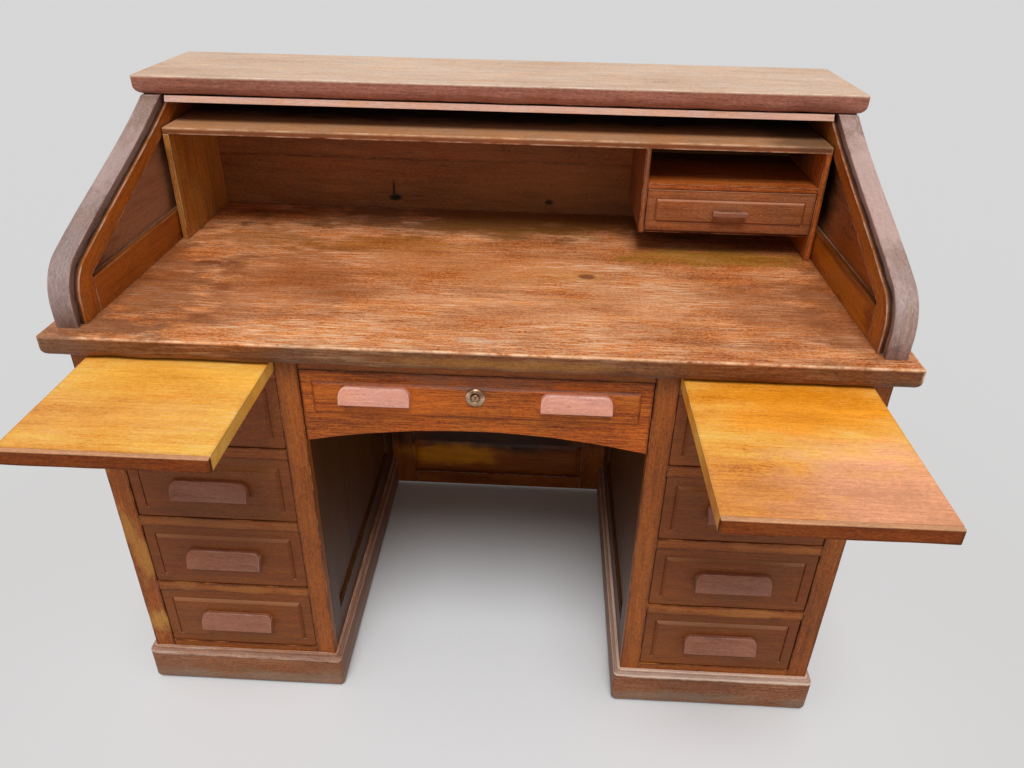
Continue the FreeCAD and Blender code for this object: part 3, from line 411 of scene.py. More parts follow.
def patterns(tree, look, grain, log):
    """The wood's patterns by name."""
    place = add(tree, "VectorMath", {"operation": "MULTIPLY_ADD", 1: (31.0, 57.0, 93.0)},
                {0: log, 2: grain})
    drawn = {}
    for key, stretch, size, detail in PATTERNS:
        along = add(tree, "VectorMath", {"operation": "MULTIPLY", 1: (stretch, 1.0, 1.0)},
                    {0: place})
        drawn[key] = add(tree, "TexNoise", {"Scale": 1000 / look.get(size, size),
                                            "Detail": detail, "Roughness": 0.6}, {"Vector": along})

    # Growth rings: ellipsoids about a pith beside the board, cut by its face into arches.
    slanted = add(tree, "VectorMath", {"operation": "MULTIPLY_ADD", 1: (0.055, 1.0, 1.0),
                                       2: (-0.17, -0.02, 0.03)}, {0: grain})
    pith = add(tree, "VectorMath", {"operation": "MULTIPLY_ADD", 1: (0.4, 0.1, 0.05)},
               {0: log, 2: slanted})
    drawn["rings"] = add(tree, "TexWave",
                         {"wave_type": "RINGS", "rings_direction": "SPHERICAL",
                          "wave_profile": "SAW", "Scale": 314.0 / look["ring"], "Distortion": 5.0,
                          "Detail": 3.0, "Detail Scale": 0.6, "Detail Roughness": 0.6},
                         {"Vector": pith})
    turn = add(tree, "Math", {"operation": "MULTIPLY", 1: 7.31}, {0: log})
    drawn["boards"] = add(tree, "Math", {"operation": "FRACT"}, {0: turn})
    return drawn


def weighed(tree, drawn, weights):
    """The patterns added up by weight, about a middle of one half."""
    value = add(tree, "Value")
    value.outputs[0].default_value = 0.5 - sum(weights.values()) / 2
    for key, weight in weights.items():
        value = add(tree, "Math", {"operation": "MULTIPLY_ADD", 1: weight},
                    {0: drawn[key], 2: value})
    return value


def stain(tree, value, reach, low, high):
    """Stain from the darkest grain lines through dark to light wood."""
    node = add(tree, "ValToRGB", {}, {"Fac": value})
    ramp = node.color_ramp
    ramp.elements[0].position = max(0.0, 0.5 - reach)
    ramp.elements[1].position = min(1.0, 0.5 + reach)
    ramp.elements[0].color, ramp.elements[1].color = (*low, 1.0), (*high, 1.0)
    deep = ramp.elements.new(max(0.0, 0.5 - reach * 1.9))
    deep.color = (low[0] * 0.45, low[1] * 0.34, low[2] * 0.3, 1.0)
    return node


def edge_distance(tree, grain, half):
    """How far a point lies from each face of its board, and so from the nearest arris."""
    within = add(tree, "VectorMath", {"operation": "ABSOLUTE"}, {0: grain})
    room = add(tree, "VectorMath", {"operation": "SUBTRACT"}, {0: half, 1: within})
    x, y, z = add(tree, "SeparateXYZ", {}, {0: room}).outputs
    nearer = add(tree, "Math", {"operation": "MINIMUM"}, {0: x, 1: y})
    further = add(tree, "Math", {"operation": "MAXIMUM"}, {0: x, 1: y})
    other = add(tree, "Math", {"operation": "MINIMUM"}, {0: further, 1: z})
    return add(tree, "Math", {"operation": "MAXIMUM"}, {0: nearer, 1: other})


def wear_and_highlight_share(tree, look, drawn, edge, spared):
    """How bare a point is: rubbed arrises, scratches and specks, and painted highlight on ledges.

    spared is nought, or the share by which a board's lower parts escape the scratches.
    """
    rubbed = add(tree, "MapRange", {**SMOOTH, "From Min": 0.62 - look["rub"] * 0.3,
                                    "From Max": 0.68}, {"Value": drawn["rub"]})
    line = add(tree, "MapRange", {**SMOOTH, "From Max": look["arris"] / 1000,
                                  "To Min": look["bare"], "To Max": 0.0}, {"Value": edge})
    bare = add(tree, "Math", {"operation": "MULTIPLY"}, {0: rubbed, 1: line})

    # Long scratches along the grain, gathered where the surface is used most.
    lines = add(tree, "MapRange", {"From Min": look["worn_from"],
                                   "From Max": look["worn_from"] + 0.12,
                                   "To Max": look["scratches"]}, {"Value": drawn["scratches"]})
    used = add(tree, "MapRange", {"From Min": 0.40, "From Max": 0.62}, {"Value": drawn["clouds"]})
    flecks = add(tree, "MapRange", {"From Min": 0.62, "From Max": 0.74, "To Max": look["flecks"]},
                 {"Value": drawn["specks"]})
    both = add(tree, "Math", {"operation": "MAXIMUM"}, {0: lines, 1: flecks})
    marks = add(tree, "Math", {"operation": "MULTIPLY"}, {0: both, 1: used})
    if spared:
        kept = add(tree, "Math", {"operation": "MULTIPLY_ADD", 1: -0.8, 2: 1.0}, {0: spared})
        marks = add(tree, "Math", {"operation": "MULTIPLY"}, {0: marks, 1: kept})
    pale = add(tree, "Math", {"operation": "MAXIMUM"}, {0: bare, 1: marks})
    # Painted highlight: faces that look upwards are paled towards the worn colour, as light from
    # above brightens them.
    if look["ledge_highlight"]:
        facing = add(tree, "NewGeometry").outputs["Normal"]
        upward = add(tree, "SeparateXYZ", {}, {0: facing}).outputs["Z"]
        ledge_highlight = add(tree, "MapRange", {"From Min": 0.68, "From Max": 0.95,
                                       "To Max": look["ledge_highlight"]}, {"Value": upward})
        pale = add(tree, "Math", {"operation": "MAXIMUM"}, {0: pale, 1: ledge_highlight})
    return pale


def patched(tree, finish, patches, tones, value, reach):
    """Lays rubbed or marked places and painted light and shade on the finish, its grain kept."""
    where = add(tree, "TexCoord").outputs["Object"]
    shaded = add(tree, "MapRange", {"From Min": 0.5 - reach, "From Max": 0.5 + reach,
                                    "To Min": 0.72, "To Max": 1.22}, {"Value": value})
    for centre, radii, tint, strength, ragged in patches:
        away = add(tree, "VectorMath", {"operation": "SUBTRACT", 1: centre}, {0: where})
        scaled = add(tree, "VectorMath", {"operation": "DIVIDE", 1: radii}, {0: away})
        off = add(tree, "VectorMath", {"operation": "LENGTH"}, {0: scaled}).outputs["Value"]
        border = add(tree, "Math", {"operation": "MULTIPLY_ADD", 1: -ragged}, {0: tones, 2: off})
        mask = add(tree, "MapRange",
                   {**SMOOTH, "From Min": 0.35 - ragged / 2, "From Max": 0.95 - ragged / 2,
                    "To Min": strength, "To Max": 0.0}, {"Value": border})
        grained = add(tree, "Mix", {**DARKEN, 0: 1.0, 6: (*linear(tint), 1.0)},
                      {7: shaded}).outputs[2]
        finish = add(tree, "Mix", COLOURS, {0: mask, 6: finish, 7: grained}).outputs[2]
    return finish


def stained_wood(name, dark, light, worn, look, patches=(), side=None):
    """Oak-like wood in a stain under thin shellac.

    The boards' own coordinates carry the figure, so each board has its own grain. Sizes in look
    are millimetres on the wood. patches are (centre, radii, colour, strength, raggedness) in
    metres, for rubbed or marked places and for painted light and shade. side is the (dark, light)
    colour below a board's upper face: a stain, and on the tambour rail's groove painted shade.
    """
    material, tree = blank(name)
    grain, half, log = (add(tree, "Attribute", {"attribute_name": key}).outputs[output] for
                        key, output in (("grain", "Vector"), ("half", "Vector"), ("log", "Fac")))
    drawn = patterns(tree, look, grain, log)
    value = weighed(tree, drawn, {**WEIGHTS, **look.get("weights", {})})
    reach = 0.28 / look["contrast"]
    base, lower = stain(tree, value, reach, dark, light), None
    if side:
        side_colour = stain(tree, value, reach, *side)
        below = add(tree, "VectorMath", {"operation": "SUBTRACT"}, {0: half, 1: grain})
        depth = add(tree, "SeparateXYZ", {}, {0: below}).outputs["Z"]
        lower = add(tree, "MapRange", {**SMOOTH, "From Min": 0.0015, "From Max": 0.005},
                    {"Value": depth})
        base = add(tree, "Mix", COLOURS, {0: lower, 6: base, 7: side_colour}).outputs[2]

    # The stain turned redder in some places and yellower in others.
    turned = add(tree, "MapRange", {"From Min": 0.36, "From Max": 0.64}, {"Value": drawn["tones"]})
    tint = add(tree, "Mix", {**COLOURS, 6: (1.06, 0.94, 0.74, 1.0), 7: (0.95, 1.04, 1.18, 1.0)},
               {0: turned}).outputs[2]
    base = add(tree, "Mix", {**DARKEN, 0: look["hue"]}, {6: base, 7: tint}).outputs[2]

    # Open pores: short dark dashes, drawn a millimetre wide so that they show.
    pores = add(tree, "MapRange", {"From Min": 0.58, "From Max": 0.72, "To Max": look["pores"]},
                {"Value": drawn["pores"]})
    shade = add(tree, "Mix", {**DARKEN, 7: (0.32, 0.22, 0.17, 1.0)}, {0: pores, 6: base}).outputs[2]

    # Dirt gathers beside the joints, and the arris itself is rubbed back to paler wood.
    # Faces that look upwards get a painted highlight in the same pale colour.
    edge = edge_distance(tree, grain, half)
    grime = add(tree, "MapRange", {**SMOOTH, "From Max": look["grime"] / 1000,
                                   "To Min": look["dirt"], "To Max": 0.0}, {"Value": edge})
    dirty = add(tree, "Mix", {**DARKEN, 7: (0.25, 0.17, 0.12, 1.0)},
                {0: grime, 6: shade}).outputs[2]
    pale = wear_and_highlight_share(tree, look, drawn, edge, lower)
    finish = add(tree, "Mix", {**COLOURS, 7: (*worn, 1.0)}, {0: pale, 6: dirty}).outputs[2]
    if patches:
        finish = patched(tree, finish, patches, drawn["tones"], value, reach)

    rough = add(tree, "MapRange", {"To Min": look["rough"] - 0.12, "To Max": look["rough"] + 0.14},
                {"Value": drawn["fibres"]})
    rougher = add(tree, "Math", {"operation": "MULTIPLY_ADD", 1: 0.18}, {0: pale, 2: rough})
    ridge = add(tree, "Math", {"operation": "MULTIPLY_ADD", 1: 0.6},
                {0: drawn["fibres"], 2: drawn["streaks"]})
    height = add(tree, "Math", {"operation": "SUBTRACT"}, {0: ridge, 1: pores})
    relief = add(tree, "Bump", {"Strength": look["relief"], "Distance": 0.0006},
                 {"Height": height})
    shader = add(tree, "BsdfPrincipled",
                 {"IOR": 1.5, "Specular IOR Level": look["sheen"], "Coat Weight": look["coat"],
                  "Coat Roughness": 0.25, "Coat IOR": 1.52},
                 {"Base Color": finish, "Roughness": rougher, "Normal": relief})
    add(tree, "OutputMaterial", {}, {"Surface": shader})
    return material


# Fibre and scratch widths are coarser than in real oak, so that they show at arm's length.
# Sheen is below a clean film's 0.5, because old shellac is crazed and full of fine scratches.
PLAIN = {"ring": 8.0, "streak": 13.0, "fibre": 2.4, "cloud": 150.0, "pore": 1.6, "pores": 0.4,
         "grime": 5.0, "dirt": 0.75, "rub": 0.5, "arris": 2.2, "bare": 0.85, "scratches": 0.15,
         "worn_from": 0.62, "rough": 0.46, "relief": 0.3, "coat": 0.04, "sheen": 0.22,
         "contrast": 0.85, "speck": 2.6, "tone": 45.0, "hue": 0.8, "flecks": 0.2, "ledge_highlight": 0.0}


def finishes(colours):
    """Every finish on the desk, by name."""
    made = {}

    # Oak desktop, hand-planed and shellacked, then written on for decades: fine pale scratches
    # along the grain, orange in the middle, dark where arms didn't rub it, and a bare front arris.
    # Beside the roll sides its ends are darker still with painted shade.
    made["desktop_oak"] = stained_wood(
        "oak_desktop_worn_shellac", colours.desktop_dark, colours.desktop_light,
        colours.desktop_worn,
        {**PLAIN, "cloud": 120.0, "scratches": 0.8, "worn_from": 0.5, "rough": 0.5, "dirt": 0.0,
         "rub": 1.0, "arris": 5.5, "bare": 1.0, "pores": 0.4, "contrast": 0.95, "hue": 1.0,
         "flecks": 0.6, "weights": {"rings": 0.03, "clouds": 0.7, "rays": 0.8, "specks": 0.9}},
        (((-0.22, 0.22, 0.794), (0.26, 0.07, 0.004), "b06a1e", 0.45, 3.5),
         ((0.12, 0.10, 0.794), (0.10, 0.05, 0.004), "c98a3c", 0.35, 3.5),
         ((0.10, -0.04, 0.794), (0.32, 0.12, 0.004), "e09c6c", 0.4, 3.0),
         ((-0.35, 0.02, 0.794), (0.20, 0.24, 0.004), "a65f34", 0.65, 2.0),
         ((-0.02, 0.13, 0.794), (0.26, 0.11, 0.004), "d6854c", 0.55, 2.5),
         ((0.47, -0.03, 0.794), (0.13, 0.20, 0.004), "aa663e", 0.55, 2.0),
         # Painted shade beside the left roll side.
         ((-0.56, -0.02, 0.794), (0.15, 0.30, 0.004), "844620", 0.7, 2.5),
         ((-0.44, 0.24, 0.794), (0.22, 0.08, 0.004), "96561e", 0.6, 2.5),
         ((0.0, 0.42, 0.794), (0.75, 0.16, 0.004), "6e3f16", 0.65, 3.0),
         ((0.08, 0.37, 0.794), (0.30, 0.10, 0.004), "9c6424", 0.6, 2.0),
         ((0.43, 0.205, 0.794), (0.24, 0.06, 0.004), "a8741c", 0.65, 2.5),
         # Painted shade beside the right roll side.
         ((0.61, -0.02, 0.794), (0.11, 0.26, 0.004), "8a4c26", 0.6, 2.5),
         ((-0.60, -0.17, 0.794), (0.16, 0.06, 0.004), "8a5a3c", 0.6, 3.5),
         ((0.179, 0.097, 0.794), (0.022, 0.016, 0.004), "5c2c16", 0.7, 0.8),
         ((-0.515, 0.104, 0.794), (0.04, 0.02, 0.004), "6a2f18", 0.5, 3.5),
         ((0.0, -0.165, 0.794), (0.07, 0.014, 0.004), "e6c3a4", 0.45, 3.5),
         ((0.06, -0.205, 0.774), (0.24, 0.012, 0.016), "a86e2e", 0.6, 1.5),
         ((-0.32, -0.205, 0.776), (0.13, 0.012, 0.02), "5c3828", 0.5, 1.5),
         ((-0.60, -0.205, 0.776), (0.12, 0.012, 0.02), "7a5238", 0.5, 1.5)),
        (linear("62361b"), linear("8a5630")))

    # The same oak on the deck, bleached by daylight and dust: dry, tan and nearly without gloss.
    # Its edges, out of the sun, kept their red-brown stain.
    made["deck_oak"] = stained_wood(
        "oak_deck_sun_bleached", colours.deck_dark, colours.deck_light, linear("f6e6d6"),
        {**PLAIN, "rough": 0.62, "coat": 0.0, "scratches": 0.4, "dirt": 0.0, "pores": 0.25,
         "rub": 0.75, "arris": 2.6, "contrast": 0.75, "hue": 0.35,
         "weights": {"rays": 0.9, "fibres": 0.8}},
        (((-0.62, 0.30, 1.093), (0.14, 0.09, 0.01), "c9a488", 0.5, 3.5),),
        (colours.deck_edge_dark, colours.deck_edge_light))

    # Quarter-sawn oak of the case in dark stain: fine straight grain, dull gloss, orange arrises.
    made["case_oak"] = stained_wood(
        "oak_case_dark_stain", colours.case_dark, colours.case_light, colours.case_worn,
        {**PLAIN, "rub": 0.6},
        (((-0.63, -0.17, 0.333), (0.03, 0.03, 0.20), "c08338", 0.6, 3.5),
         ((-0.627, -0.17, 0.143), (0.03, 0.03, 0.07), "c9923f", 0.55, 3.5),
         ((-0.46, -0.17, 0.248), (0.15, 0.03, 0.012), "a9692c", 0.5, 3.5),
         ((-0.46, -0.17, 0.408), (0.15, 0.03, 0.012), "9c5f2c", 0.45, 3.5),
         ((0.48, -0.17, 0.249), (0.15, 0.03, 0.013), "b87234", 0.65, 2.5),
         ((0.52, -0.17, 0.409), (0.12, 0.03, 0.013), "b86c2c", 0.55, 2.5)))

    # Drawer fronts, planed with raised fields and stained darkest: low, even gloss.
    # A painted highlight pales their upward faces, such as the field's top bevel.
    made["drawer_front_oak"] = stained_wood(
        "oak_drawer_front_dark_stain", colours.front_dark, colours.front_light, linear("d09a6c"),
        {**PLAIN, "rub": 0.35, "cloud": 120.0, "contrast": 0.65, "ledge_highlight": 0.9, "bare": 0.6,
         "scratches": 0.1})

    # The wide kneehole drawer, rubbed by every hand that reached for it: the stain has gone orange.
    # A painted highlight pales its upward faces.
    made["center_front_oak"] = stained_wood(
        "oak_kneehole_drawer_rubbed_stain", colours.center_dark, colours.center_light,
        linear("d57e36"),
        {**PLAIN, "rub": 0.7, "cloud": 100.0, "contrast": 1.05, "pores": 0.6, "fibre": 2.0,
         "ledge_highlight": 0.5, "weights": {"fibres": 1.3, "streaks": 0.8}},
        (((0.0, -0.18, 0.726), (0.20, 0.03, 0.022), "6a4436", 0.6, 2.0),
         ((-0.11, -0.18, 0.690), (0.10, 0.03, 0.05), "d0661c", 0.4, 2.5)))

    # Edges that cap the slides, stained to match the case and thumbed bare along the top arris.
    made["lipping_oak"] = stained_wood(
        "oak_slide_lipping_stain", linear("64290a"), linear("984c14"), linear("c98f58"),
        {**PLAIN, "rub": 0.8, "arris": 2.0, "bare": 0.3, "contrast": 0.9, "sheen": 0.12,
         "coat": 0.0},
        (((0.0, -0.45, 0.7551), (2.0, 2.0, 0.003), "dea276", 0.9, 0.5),))

    # Carved walnut pulls, rubbed by hands to a pinkish, faded brown with a soft sheen.
    made["pull_walnut"] = stained_wood(
        "walnut_pull_hand_rubbed", colours.pull_dark, colours.pull_light, linear("c99c88"),
        {**PLAIN, "streak": 8.0, "fibre": 1.8, "rough": 0.42, "dirt": 0.0, "rub": 1.0, "arris": 2.0,
         "bare": 0.7, "cloud": 60.0, "pores": 0.3, "contrast": 0.75, "hue": 0.5})

    # The kneehole drawer's pulls saw the most hands and most light: paler and pinker still.
    made["center_pull_walnut"] = stained_wood(
        "walnut_pull_faded", linear("c78773"), linear("f3af99"), linear("ffd2c0"),
        {**PLAIN, "streak": 8.0, "fibre": 1.8, "rough": 0.45, "dirt": 0.0, "rub": 1.0, "arris": 2.2,
         "bare": 0.9, "cloud": 60.0, "pores": 0.3, "contrast": 0.75, "hue": 0.4})

    # Maple slides in clear orange varnish, kept from the light inside the case: honey-yellow.
    made["slide_maple"] = stained_wood(
        "maple_slide_clear_varnish", colours.slide_dark, colours.slide_light, linear("ffdca6"),
        {**PLAIN, "streak": 20.0, "cloud": 110.0, "rough": 0.4, "coat": 0.06, "dirt": 0.25,
         "scratches": 0.5, "worn_from": 0.55, "pores": 0.12, "contrast": 0.95, "bare": 0.5,
         "hue": 0.5, "flecks": 0.5, "weights": {"clouds": 1.2, "rays": 0.7, "specks": 0.6}},
        (((0.56, -0.48, 0.742), (0.26, 0.20, 0.05), "faac86", 0.85, 1.2),
         ((0.36, -0.48, 0.742), (0.14, 0.14, 0.05), "e8904c", 0.6, 1.2),
         ((0.48, -0.26, 0.742), (0.24, 0.11, 0.05), "ff9a0a", 0.8, 1.5),
         ((-0.48, -0.35, 0.742), (0.22, 0.07, 0.05), "ee9c44", 0.5, 1.5),
         ((-0.44, -0.25, 0.742), (0.20, 0.06, 0.05), "ffb23c", 0.6, 1.5)))

    # Base boards, kicked and mopped for years: greyed stain, pale chips on every arris.
    # Painted reflection of the floor greys their lower part; painted shade darkens the foot.
    made["plinth_oak"] = stained_wood(
        "oak_base_scuffed_stain", colours.plinth_dark, colours.plinth_light, linear("d3b4a0"),
        {**PLAIN, "rough": 0.55, "rub": 1.0, "arris": 3.0, "scratches": 0.3, "worn_from": 0.55,
         "contrast": 0.9, "dirt": 0.5, "flecks": 0.5, "weights": {"streaks": 0.4, "fibres": 0.35}},
        # Painted reflection of the floor over the lower part.
        (((0.0, 0.15, 0.020), (1.5, 1.0, 0.030), "8c7460", 0.6, 1.5),
         # Painted shade along the foot.
         ((0.0, 0.15, 0.0), (1.5, 1.0, 0.011), "4a382e", 0.75, 0.8)))

    # The strip over the base boards catches every shoe and broom: rubbed pale and pinkish.
    # On the right it has painted light, and painted shade lies in the quirk under its top steps.
    made["moulding_oak"] = stained_wood(
        "oak_base_strip_rubbed", linear("80543f"), linear("d29f7f"), linear("ecd4c4"),
        {**PLAIN, "rough": 0.5, "rub": 1.0, "arris": 1.5, "scratches": 0.4, "worn_from": 0.5,
         "contrast": 0.8, "dirt": 0.1, "flecks": 0.5, "sheen": 0.35, "coat": 0.08},
        # Painted light on the right-hand strip.
        (((0.46, -0.1, 0.080), (0.5, 0.9, 0.06), "f2d2bc", 0.75, 1.2),
         # Painted shade in the quirk between the ovolo and the steps over it.
         ((0.0, 0.0, 0.0815), (2.0, 2.0, 0.003), "7a5240", 0.6, 0.5)))

    # Roll sides outside: stain gone grey-mauve under old polish.
    # Their feet by the desktop carry painted shade, and their upper parts painted light.
    made["roll_side_oak"] = stained_wood(
        "oak_roll_side_faded_stain", colours.lip_dark, colours.lip_light, linear("d9bcb0"),
        {**PLAIN, "streak": 16.0, "rough": 0.42, "coat": 0.12, "sheen": 0.45, "dirt": 0.15,
         "rub": 0.85, "pores": 0.2, "contrast": 0.45, "arris": 2.2, "bare": 1.0, "hue": 0.5,
         "weights": {"rings": 0.0, "streaks": 0.4, "fibres": 0.35}},
        # Painted shade at the feet, by the desktop.
        (((-0.632, -0.20, 0.790), (0.06, 0.06, 0.045), "5d3a2c", 0.75, 2.5),
         ((0.632, -0.20, 0.790), (0.06, 0.06, 0.045), "5d3a2c", 0.75, 2.5),
         # Painted light on the upper parts.
         ((-0.632, 0.12, 0.97), (0.06, 0.17, 0.13), "cdaea6", 0.5, 2.5),
         ((0.632, 0.10, 0.96), (0.06, 0.26, 0.18), "d2aea4", 0.65, 2.5)))

    # Roll sides inside the tambour: the first orange shellac, still deep and glossy.
    made["inner_oak"] = stained_wood(
        "oak_inside_orange_shellac", colours.inner_dark, colours.inner_light, linear("d8a880"),
        {**PLAIN, "rough": 0.4, "coat": 0.06, "rub": 1.0, "arris": 2.8, "bare": 1.0, "dirt": 0.45,
         "cloud": 90.0, "weights": {"clouds": 1.0}})

    # The same shellac, painted darker for faces in shade: a deep, saturated orange-brown.
    made["inner_deep_oak"] = stained_wood(
        "oak_inside_orange_shellac_shaded", linear("6e310c"), linear("b0611e"), linear("bd9c8a"),
        {**PLAIN, "rough": 0.4, "coat": 0.06, "rub": 1.0, "arris": 2.8, "dirt": 0.45, "cloud": 90.0,
         "weights": {"clouds": 1.0}},
        (((-0.612, 0.05, 0.84), (0.04, 0.40, 0.16), "be6a22", 0.6, 2.0),
         ((0.612, 0.05, 0.82), (0.04, 0.26, 0.05), "d07a16", 0.65, 2.0),
         ((0.612, 0.05, 0.852), (0.02, 0.25, 0.016), "6e380e", 0.7, 0.8),
         # Painted shade along the top of the modesty panel, under the rail.
         ((0.0, 0.486, 0.165), (0.5, 0.009, 0.07), "1a0c06", 0.85, 1.0),
         ((-0.12, 0.486, 0.100), (0.17, 0.009, 0.045), "e08a0c", 0.85, 1.5)))

    # The rail in front of the roll's inner frame: the same shellac on its face, and the wall
    # of the groove in which the slats have run, painted dark for the shade in the groove.
    made["rail_oak"] = stained_wood(
        "oak_tambour_rail", linear("864214"), linear("d47c2c"), linear("c8aa98"),
        {**PLAIN, "rough": 0.4, "coat": 0.06, "rub": 1.0, "arris": 2.6, "bare": 1.0, "dirt": 0.3,
         "cloud": 90.0}, (), (linear("3c2318"), linear("6c4634")))

    # Small shelf and the side beside it: the orange shellac, thinned and reddened.
    # Painted shade darkens the side's top back and the back of the shelf.
    made["small_shelf_oak"] = stained_wood(
        "oak_small_shelf_shellac", linear("8a4018"), linear("dc7a34"), linear("e0a078"),
        {**PLAIN, "rough": 0.42, "rub": 0.9, "arris": 2.0, "bare": 0.7, "contrast": 1.1},
        # Painted shade at the back of the small compartment.
        (((0.596, 0.38, 0.985), (0.02, 0.13, 0.06), "1c0e06", 0.8, 0.6),
         ((0.41, 0.42, 0.936), (0.30, 0.06, 0.03), "3c2812", 0.75, 1.0)))

    # Small drawer: the front stain, faded pinkish by the light that reaches it.
    # A painted highlight pales its upward faces.
    made["small_front_oak"] = stained_wood(
        "oak_small_drawer_faded_stain", linear("784224"), linear("b16e44"), linear("dc9c78"),
        {**PLAIN, "rub": 0.7, "cloud": 80.0, "contrast": 0.9, "arris": 2.0, "flecks": 0.4,
         "ledge_highlight": 0.8})

    # Faces towards the knees, which only the light from the floor reached: the case's stain,
    # painted nearly black-brown for that shade.
    made["knee_oak"] = stained_wood(
        "oak_knee_side_stain_painted_shade", linear("3e1f0b"), linear("5f3816"), linear("9a6a3c"),
        {**PLAIN, "rub": 0.5})

    # Thin pigeonhole boards of stained oak, dusty on their flats.
    made["pigeonhole_oak"] = stained_wood(
        "oak_pigeonhole_stain", colours.nook_dark, colours.nook_light, linear("d79a68"),
        {**PLAIN, "rub": 0.9, "arris": 2.5})

    # Panels inside the roll, in the shade of their frames: duller than the frames.
    made["panel_oak"] = stained_wood(
        "oak_inside_panel", linear("6b3f26"), linear("b07048"), linear("b58058"),
        {**PLAIN, "rough": 0.5, "cloud": 70.0, "dirt": 0.5},
        # Painted shadow: near black at the back of the right panel, beside the pigeonholes.
        (((0.62, 0.28, 0.945), (0.016, 0.13, 0.18), "120a06", 0.95, 0.8),
         ((0.62, 0.03, 0.86), (0.016, 0.18, 0.10), "b4601c", 0.7, 1.5),
         ((-0.62, 0.12, 0.90), (0.016, 0.26, 0.18), "bc8a66", 0.75, 1.2)))

    # Top pigeonhole board: dust has dried and bleached its front, and behind it is painted
    # nearly black for the deck's shadow.
    made["shelf_oak"] = stained_wood(
        "oak_top_shelf_dusty_painted_shadow", linear("a06c44"), linear("d29c72"), linear("f0c4a0"),
        {**PLAIN, "rub": 1.0, "arris": 4.0, "rough": 0.55, "dirt": 0.1, "contrast": 0.6},
        # Painted shadow of the deck over the board's rear.
        (((0.0, 0.40, 1.009), (1.3, 0.115, 0.02), "2e1d14", 0.9, 0.8),
         ((0.58, 0.27, 1.009), (0.10, 0.20, 0.02), "54402f", 0.65, 1.5)),
        (linear("743a1c"), linear("9c603a")))

    # Back board in two widths, dark red-brown, with two dead knots and a shrinkage crack.
    # Within the small compartment its top carries painted shade.
    made["nook_back_oak"] = stained_wood(
        "oak_pigeonhole_back", linear("6a3a1f"), linear("b67340"), linear("c88a58"),
        {**PLAIN, "cloud": 110.0, "dirt": 0.5, "contrast": 0.7},
        (((0.12, 0.436, 0.873), (0.28, 0.02, 0.10), "9a6030", 0.5, 3.5),
         ((-0.226, 0.436, 0.819), (0.020, 0.02, 0.010), "140a06", 1.0, 0.8),
         ((-0.229, 0.436, 0.839), (0.004, 0.02, 0.030), "1c0e08", 0.9, 0.8),
         ((0.107, 0.436, 0.819), (0.012, 0.02, 0.008), "241208", 0.9, 0.8),
         # Painted shade at the top of the small compartment.
         ((0.41, 0.436, 0.985), (0.30, 0.02, 0.055), "140a06", 0.85, 0.6)))

    # Slats of the tambour, stained as the deck's edge was.
    made["tambour_oak"] = stained_wood(
        "oak_tambour_slat", linear("7a4a3c"), linear("b58070"), linear("d8ab98"),
        {**PLAIN, "streak": 7.0, "rough": 0.5})

    # Nose of the tambour: the one strip of it that the sun and every hand have reached. Worn pale,
    # and painted paler still for the light that catches it below the deck's edge.
    made["nose_oak"] = stained_wood(
        "oak_tambour_nose_rubbed_and_painted_light", linear("c4917c"), linear("eec2ac"), linear("fbdccc"),
        {**PLAIN, "rough": 0.5, "dirt": 0.0, "rub": 0.9, "contrast": 0.6, "pores": 0.2})

    # Poplar drawer sides and runners, sawn and left bare: pale, dry, no sheen.
    for slot, name in (("drawer_box_poplar", "poplar_drawer_box_bare"),
                       ("runner_poplar", "poplar_runner_bare")):
        made[slot] = stained_wood(name, colours.raw_dark, colours.raw_light, linear("d9b48a"),
                                  {**PLAIN, "rough": 0.68, "coat": 0.0, "dirt": 0.3, "pores": 0.2})
    made["brass"] = dulled_brass(colours)
    return made


def dulled_brass(colours):
    """Cast brass, long unpolished: a brown film with bright metal on the raised rims."""
    material, tree = blank("brass_cast_dulled")
    spot = add(tree, "TexCoord").outputs["Object"]
    film = add(tree, "TexNoise", {"Scale": 90.0, "Detail": 4.0}, {"Vector": spot})
    blend = add(tree, "ValToRGB", {}, {"Fac": film})
    dull, clean = blend.color_ramp.elements
    dull.position, clean.position = 0.38, 0.66
    dull.color, clean.color = (*colours.brass_dull, 1.0), (*colours.brass_clean, 1.0)
    # Painted shade: the brass below the keyhole's middle is darkened.
    height = add(tree, "SeparateXYZ", {}, {0: spot}).outputs["Z"]
    below = add(tree, "MapRange", {**SMOOTH, "From Min": 0.691, "From Max": 0.704, "To Min": 0.8,
                                   "To Max": 0.0}, {"Value": height})
    blend = add(tree, "Mix", {**DARKEN, 7: (0.35, 0.36, 0.28, 1.0)},
                {0: below, 6: blend}).outputs[2]
    rough = add(tree, "MapRange", {"To Min": 0.55, "To Max": 0.28}, {"Value": film})
    relief = add(tree, "Bump", {"Strength": 0.25, "Distance": 0.0003}, {"Height": film})
    shader = add(tree, "BsdfPrincipled", {"Metallic": 1.0},
                 {"Base Color": blend, "Roughness": rough, "Normal": relief})
    add(tree, "OutputMaterial", {}, {"Surface": shader})
    return material


# ------------------------------------------------------------------ shared joinery
def field_rings(back, face, rise, margin, bevel, soft):
    """Rings from the back of a drawer front to the top of its raised field.

    A narrow groove parts the flat margin from the bevel.
    """
    return [(soft, back, 0, 0), (0, back - soft, 0, 0), *reversed(arris(face, soft, 1)),
            (margin - 1.0, face, 0, 0), (margin - 0.3, face + 1.8, 0, 0),
            (margin + 0.6, face + 0.2, 0, 0), (margin + bevel, face - rise + 0.5, 0, 0),
            (margin + bevel + 0.7, face - rise, 0, 0)]


